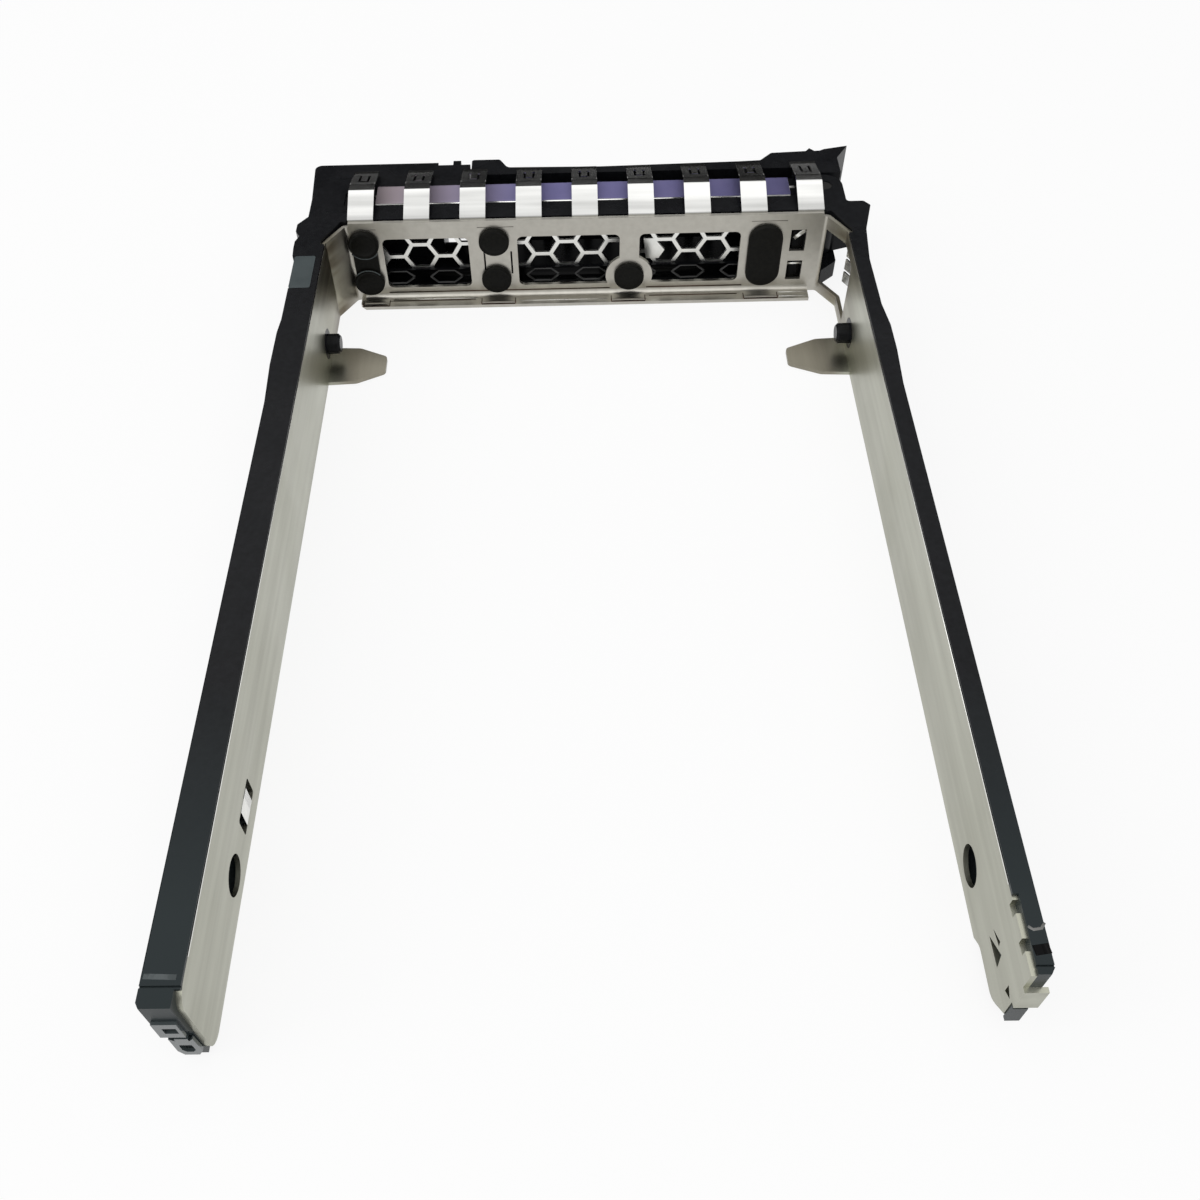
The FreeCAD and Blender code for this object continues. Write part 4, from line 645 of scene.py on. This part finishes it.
def cell_outline(middle):
    """A closed path round one cell: x from the hexagon, and (y, z) from the liner's curve
    at the share that the hexagon's height gives."""
    lie = liner_curve(SHARE_MIDDLE - SHARE_REACH * hexagon[:, 1] / (CELL / 2))
    path = np.column_stack([middle + hexagon[:, 0], lie[:, 0], lie[:, 1] + OUTLINE_LIFT])
    return np.vstack([path, path[:1]])


cells = [rod(cell_outline(middle), OUTLINE_WIDE, OUTLINE_HIGH, up=OFF_THE_LINER)
         for middle in FIRST_CELL + 2 * COLUMN * np.arange(CELL_COUNT)]
piece("dim_cells", cells, DIM_WEB)

# %% [markdown]
# ## Lines of the folded frame
#
# A fold leaves a fine line where the tool met the sheet. Short ones are coined above the
# bumpers, long ones follow the bottom bend, and a small tab of the flange under each bumper
# has a darker outline. As grooves they would be too fine for the light to find, so each is
# a hair-thin bar that paints the light there: dark bars paint the shade in a groove, and
# bright bars paint the highlight on an edge.

# %% Coined lines on the plate, with their shade painted dark
COINED = [(-30.6, -28.7), (-14.8, -9.8), (22.7, 27.6)]
COINED_Z = 11.95

piece("coined_lines",
      [bar(left, right, y=0.0, z=COINED_Z, wide=0.025, high=0.05) for left, right in COINED],
      SEAM_SHADE)

# %% Lines along the bottom flange: painted shade and painted highlights
FLANGE_TOP = 0.5
TABS = [(-31.9, -28.1), (-14.9, -10.1), (3.6, 8.4), (22.4, 27.2)]
TAB_FRONT, TAB_REAR = -0.9, -2.15
TAB_STROKES = (0.07, 0.15, 0.07)
LINE_WIDE, LINE_HIGH = 0.10, 0.03
BEND_LINES = [(-28.2, 3.4), (8.6, 22.2)]
FOLD_LINES = [(-27.6, -15.8), (9.0, 21.5)]
HIGHLIGHT_LINES = [(-27.6, -15.5, -0.72), (-9.6, 3.0, -1.5), (27.4, 31.4, -0.85),
                (27.4, 31.4, -1.75)]


def tab_corners(left, right):
    """The outline of a tab on the flange: out along one end, across, and back again."""
    return [(left, TAB_FRONT, FLANGE_TOP), (left, TAB_REAR, FLANGE_TOP),
            (right, TAB_REAR, FLANGE_TOP), (right, TAB_FRONT, FLANGE_TOP)]


shade = [bar(left, right, y=-0.02, z=1.22, wide=0.03, high=0.09) for left, right in BEND_LINES]
shade += [bar(left, right, -1.02, FLANGE_TOP, LINE_WIDE, LINE_HIGH)
          for left, right in FOLD_LINES]
for left, right in TABS:
    shade += strokes(tab_corners(left, right), TAB_STROKES, LINE_HIGH)
piece("flange_shade", shade, BROWN_SEAM_SHADE)
piece("flange_highlights", [bar(left, right, y, FLANGE_TOP, LINE_WIDE, LINE_HIGH)
                        for left, right, y in HIGHLIGHT_LINES], EDGE_HIGHLIGHT)

# %% [markdown]
# ## Lines along the arms
#
# Along the top of each arm the cut sheet shows a bright line under a dark gap. The left arm
# also has a lance: a slit whose edge was pressed out and catches the light. The solids
# alone show one even step there. Two rods along each arm, one bright and one black, paint
# the step's highlight and the shadow in the gap, and a flat bright bar paints the lance's
# highlight.

# %% Painted highlights on the arms' top edges, and painted shadow in the gaps
ARM_FRONT = -5.0
ARM_REARS = [(-1, -101.5), (1, -96.0)]


def arm_lines(out, z, high):
    """A rod along each arm, at a distance out to the side and at a height."""
    return [rod([(side * out, ARM_FRONT, z), (side * out, rear, z)], wide=0.05, high=high)
            for side, rear in ARM_REARS]


piece("arm_edge_highlights", arm_lines(out=35.1, z=12.46, high=0.06), EDGE_HIGHLIGHT)
piece("arm_gap_shadows", arm_lines(out=35.12, z=12.66, high=0.10), GLOSS_BLACK_AND_SHADE)

# %% The painted highlight on the lance in the left arm
LANCE = [(-35.09, -84.2, 3.65), (-35.09, -81.5, 3.65)]

piece("arm_lance_highlight", [rod(LANCE, wide=0.03, high=1.36, power=0.2)], EDGE_HIGHLIGHT)

# %% [markdown]
# ## The rubber heads
#
# Each round bumper has a shallow groove inside its rim and a low dome in the middle. A
# bevel on the flat CAD head would leave its middle looking cut. A profile turned about the
# bumper's axis gives the groove and the dome at once. Where the left bumper's strap meets
# its two heads, a pale rod paints the glint along each rim.

# %% Domed heads
def dome(middle, radius, heights, radii, around=40):
    """A surface of revolution about the rear direction, -Y, for a moulded head.

    Ring k has the radius radii[k] * radius and stands heights[k] behind the middle."""
    angle = np.arange(around) * 2 * np.pi / around
    ring = np.array(radii)[:, None] * radius
    x = middle[0] + ring * np.cos(angle)
    z = middle[2] + ring * np.sin(angle)
    y = middle[1] - np.broadcast_to(np.array(heights)[:, None], x.shape)
    return skin(np.stack([x, y, z], axis=-1))


def column(name):
    """The x of a bumper's middle."""
    low, high = box_mm(name)
    return round((low[0] + high[0]) / 2, 3)


HEAD_HEIGHTS = [0.02, 0.15, 0.06, 0.03, 0.10, 0.16, 0.20, 0.21]
HEAD_RADII = [1.0, 0.955, 0.88, 0.82, 0.74, 0.50, 0.22, 0.02]
HEAD_RADIUS = 2.08
HEAD_Y = box_mm("bumper_left")[0][1]
UPPER_ROW, LOWER_ROW = 9.7, 3.35
HEADS = [(column("bumper_left"), UPPER_ROW), (column("bumper_left"), LOWER_ROW),
         (column("bumper_mid_upper"), UPPER_ROW), (column("bumper_mid_lower"), LOWER_ROW),
         (column("bumper_centre"), LOWER_ROW)]
piece("bumper_heads", [dome((x, HEAD_Y, z), HEAD_RADIUS, HEAD_HEIGHTS, HEAD_RADII)
                       for x, z in HEADS], RUBBER)

# %% Painted glints where the left bumper's strap meets its heads
def arc(middle, radius, start, end, y, count=16):
    """Points on part of a circle in the plate's plane, between two angles in degrees."""
    angle = np.radians(np.linspace(start, end, count))
    return np.column_stack([middle[0] + radius * np.cos(angle), np.full(count, y),
                            middle[1] + radius * np.sin(angle)])


GLINT_RADIUS, GLINT_Y = 2.16, -0.61
GLINT_ARCS = [arc(HEADS[0], GLINT_RADIUS, 215, 325, GLINT_Y),
              arc(HEADS[1], GLINT_RADIUS, 40, 140, GLINT_Y)]
piece("bumper_glints",
      [rod(path, wide=0.10, high=0.03, up=(0.0, -1.0, 0.0)) for path in GLINT_ARCS],
      SMOKE_CLEAR_AND_GLINTS)

# %% [markdown]
# ## The release spring
#
# The slide presses a small coil spring as it moves. The CAD spring is a rigid coil of flat
# faces, which would run into the slide. A smooth coil stands for it here: a rod along a
# helix.

# %% The release spring
COIL_TURNS, COIL_RADIUS, WIRE = 6, 1.2, 0.4
COIL_Y, COIL_Z = 10.20, 6.71
COIL_START, COIL_END = -35.15 + WIRE / 2, -29.02 - WIRE / 2
POINTS_PER_TURN = 24


def helix(share):
    """The coil's middle line: x goes straight from its start to its end, and (y, z) goes
    round a circle once for each turn."""
    angle = 2 * np.pi * COIL_TURNS * share
    return np.column_stack([COIL_START + (COIL_END - COIL_START) * share,
                            COIL_Y + COIL_RADIUS * np.cos(angle),
                            COIL_Z + COIL_RADIUS * np.sin(angle)])


wire = rod(helix(np.linspace(0, 1, COIL_TURNS * POINTS_PER_TURN + 1)), WIRE / 2, WIRE / 2,
           up=(1.0, 0.0, 0.0))
coil_spring = piece("release_coil", [wire], PIN_STEEL)
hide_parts("release_spring")
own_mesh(coil_spring)

# %% [markdown]
# ## Edges of the mouldings
#
# The rails and the bezel have small radii on their long edges, and each shows as one soft
# line in the dark plastic. Fillets on the solids would catch it only from some sides. A
# thin rounded bead along the edge stands for it everywhere. At the rear end, a pale rod
# paints a glint across the right rail's top and a black bar paints a dark band of shade
# behind it, and a soft pale rod paints the light on a low rib of the left rail.

# %% Painted glints and shade on the rear ends of the rails
GLINT = [(35.7, -99.9, 12.88), (36.1, -100.2, 12.9), (36.8, -100.1, 12.9), (37.15, -99.6, 12.86)]
SHADE_BAND = [(35.7, -102.0, 12.89), (37.1, -101.8, 12.89)]
RIB_GLINT = [(-38.4, -103.3, 12.88), (-35.6, -103.4, 12.88)]

piece("runner_glints", [rod(GLINT, wide=0.14, high=0.04)], PALE_HIGHLIGHT)
piece("runner_rib_glint", [rod(RIB_GLINT, wide=0.32, high=0.03)], SMOKE_CLEAR_AND_GLINTS)
piece("runner_shade_bands", [rod(SHADE_BAND, wide=0.45, high=0.02, power=0.3)], GLOSS_BLACK_AND_SHADE)

# %% Beads along the moulded edges
BEADS = [[(-36.8, 10.85, 12.9), (-33.5, 10.75, 12.9)],
         [(-35.8, 3.05, 12.9), (-32.6, 2.9, 12.9)],
         [(-38.55, -30.0, 12.86), (-38.55, -103.0, 12.86)]]
BEAD_RADIUS = 0.05

piece("moulded_beads", [rod(path, BEAD_RADIUS, BEAD_RADIUS) for path in BEADS], GREY_PLASTIC)

# %% [markdown]
# ## The studio floor
#
# The caddy stands on white paper. Enough light to burn the paper out would burn the metal
# too. The floor adds its own white instead, for the camera, for mirror rays and for rays
# through clear pieces, so that the ground reads as paper while the soft shadow stays.

# %% Rays that see the background
def background_rays(tree):
    """1 for camera, mirror and transmission rays and 0 for others: the largest of the
    three."""
    path = node(tree, "ShaderNodeLightPath")
    seen = node(tree, "ShaderNodeMath", {0: (path, "Is Camera Ray"), 1: (path, "Is Glossy Ray")},
                operation="MAXIMUM")
    return node(tree, "ShaderNodeMath", {0: (seen, 0), 1: (path, "Is Transmission Ray")},
                operation="MAXIMUM"), 0

# %% The floor
FLOOR_HALF = 3.0
FLOOR_Z = -0.0001
PAPER_WHITE = 0.88
PAPER_GLOW = 0.87


def staged(name, corners, material):
    """A flat four-cornered object of the studio, which isn't part of the caddy."""
    mesh = bpy.data.meshes.new(name)
    mesh.from_pydata(corners, [], [(0, 1, 2, 3)])
    mesh.materials.append(material)
    made = bpy.data.objects.new(name, mesh)
    bpy.context.scene.collection.objects.link(made)
    return made


def paper():
    """Matt white, with added white for the rays that see the background."""
    material, tree, shader = new_material("paper")
    feed(tree, shader, {"Base Color": grey(PAPER_WHITE), "Roughness": 0.9,
                        "Specular IOR Level": 0.1})
    glow = node(tree, "ShaderNodeEmission", {"Color": grey(1.0), "Strength": 1.0})
    share = node(tree, "ShaderNodeMath", {0: background_rays(tree), 1: PAPER_GLOW},
                 operation="MULTIPLY")
    mix = node(tree, "ShaderNodeMixShader", {
        "Fac": (share, 0), 1: (shader, "BSDF"), 2: (glow, "Emission")})
    feed(tree, tree.nodes["Material Output"], {"Surface": (mix, "Shader")})
    return material


staged("floor", [(-FLOOR_HALF, -FLOOR_HALF, FLOOR_Z), (FLOOR_HALF, -FLOOR_HALF, FLOOR_Z),
                 (FLOOR_HALF, FLOOR_HALF, FLOOR_Z), (-FLOOR_HALF, FLOOR_HALF, FLOOR_Z)],
       paper())

# %% [markdown]
# ## The lamps and the dark card
#
# A large soft panel hangs overhead and a small weak one stands at the left. Small strong
# lamps would give hard shadows and white spots on the fingers. A dark card stands beyond
# the bezel, where polished pieces mirror it and look darker. The camera doesn't see it, and
# it casts no shadow.

# %% The lamps
def panel(name, place, aim, width, height, watts):
    """A rectangular soft lamp at a place, turned to face a point."""
    data = bpy.data.lights.new(name, "AREA")
    data.shape = "RECTANGLE"
    data.size, data.size_y, data.energy = width, height, watts
    lamp = bpy.data.objects.new(name, data)
    away = np.array(place) - np.array(aim)
    away /= np.linalg.norm(away)
    lamp.location = place
    lamp.rotation_euler = (math.acos(away[2]), 0.0, math.atan2(away[1], away[0]) + math.pi / 2)
    bpy.context.scene.collection.objects.link(lamp)
    print("the lamp", name, "gives", watts, "W")


MIDDLE = (0.0, -0.045, 0.0)
panel("overhead", (-0.10, -0.10, 0.80), MIDDLE, width=1.80, height=1.40, watts=5.4)
panel("left", (-0.60, -0.20, 0.35), MIDDLE, width=0.35, height=0.35, watts=1.0)

# %% The dark card
CARD_HALF, CARD_Y, CARD_TOP = 1.3, 0.9, 0.75


def felt():
    """A black cloth that reflects almost nothing."""
    material, tree, shader = new_material("felt")
    feed(tree, shader, {"Base Color": grey(0.03), "Specular IOR Level": 0.0})
    return material


card = staged("dark_flag", [(-CARD_HALF, CARD_Y, 0.0), (CARD_HALF, CARD_Y, 0.0),
                            (CARD_HALF, CARD_Y, CARD_TOP), (-CARD_HALF, CARD_Y, CARD_TOP)],
              felt())
card.visible_camera = False
card.visible_shadow = False

# %% [markdown]
# ## The world
#
# The room behind the object is white, as the paper is. White walls would also light the
# object as strongly as they look, and flatten it. The same rays as before see full white,
# and the light that reaches the object from all round is softer.

# %% The world
ROOM_LIGHT = 0.55


def soft_room():
    """White behind the object, and a softer level as the light that the room gives."""
    world = bpy.data.worlds.new("soft room")
    world.use_nodes = True
    tree = world.node_tree
    level = node(tree, "ShaderNodeMapRange", {
        "Value": background_rays(tree), "To Min": ROOM_LIGHT, "To Max": 1.0})
    feed(tree, tree.nodes["Background"], {"Color": grey(1.0), "Strength": (level, "Result")})
    bpy.context.scene.world = world
    print("the room's light is", ROOM_LIGHT, "of white")


soft_room()
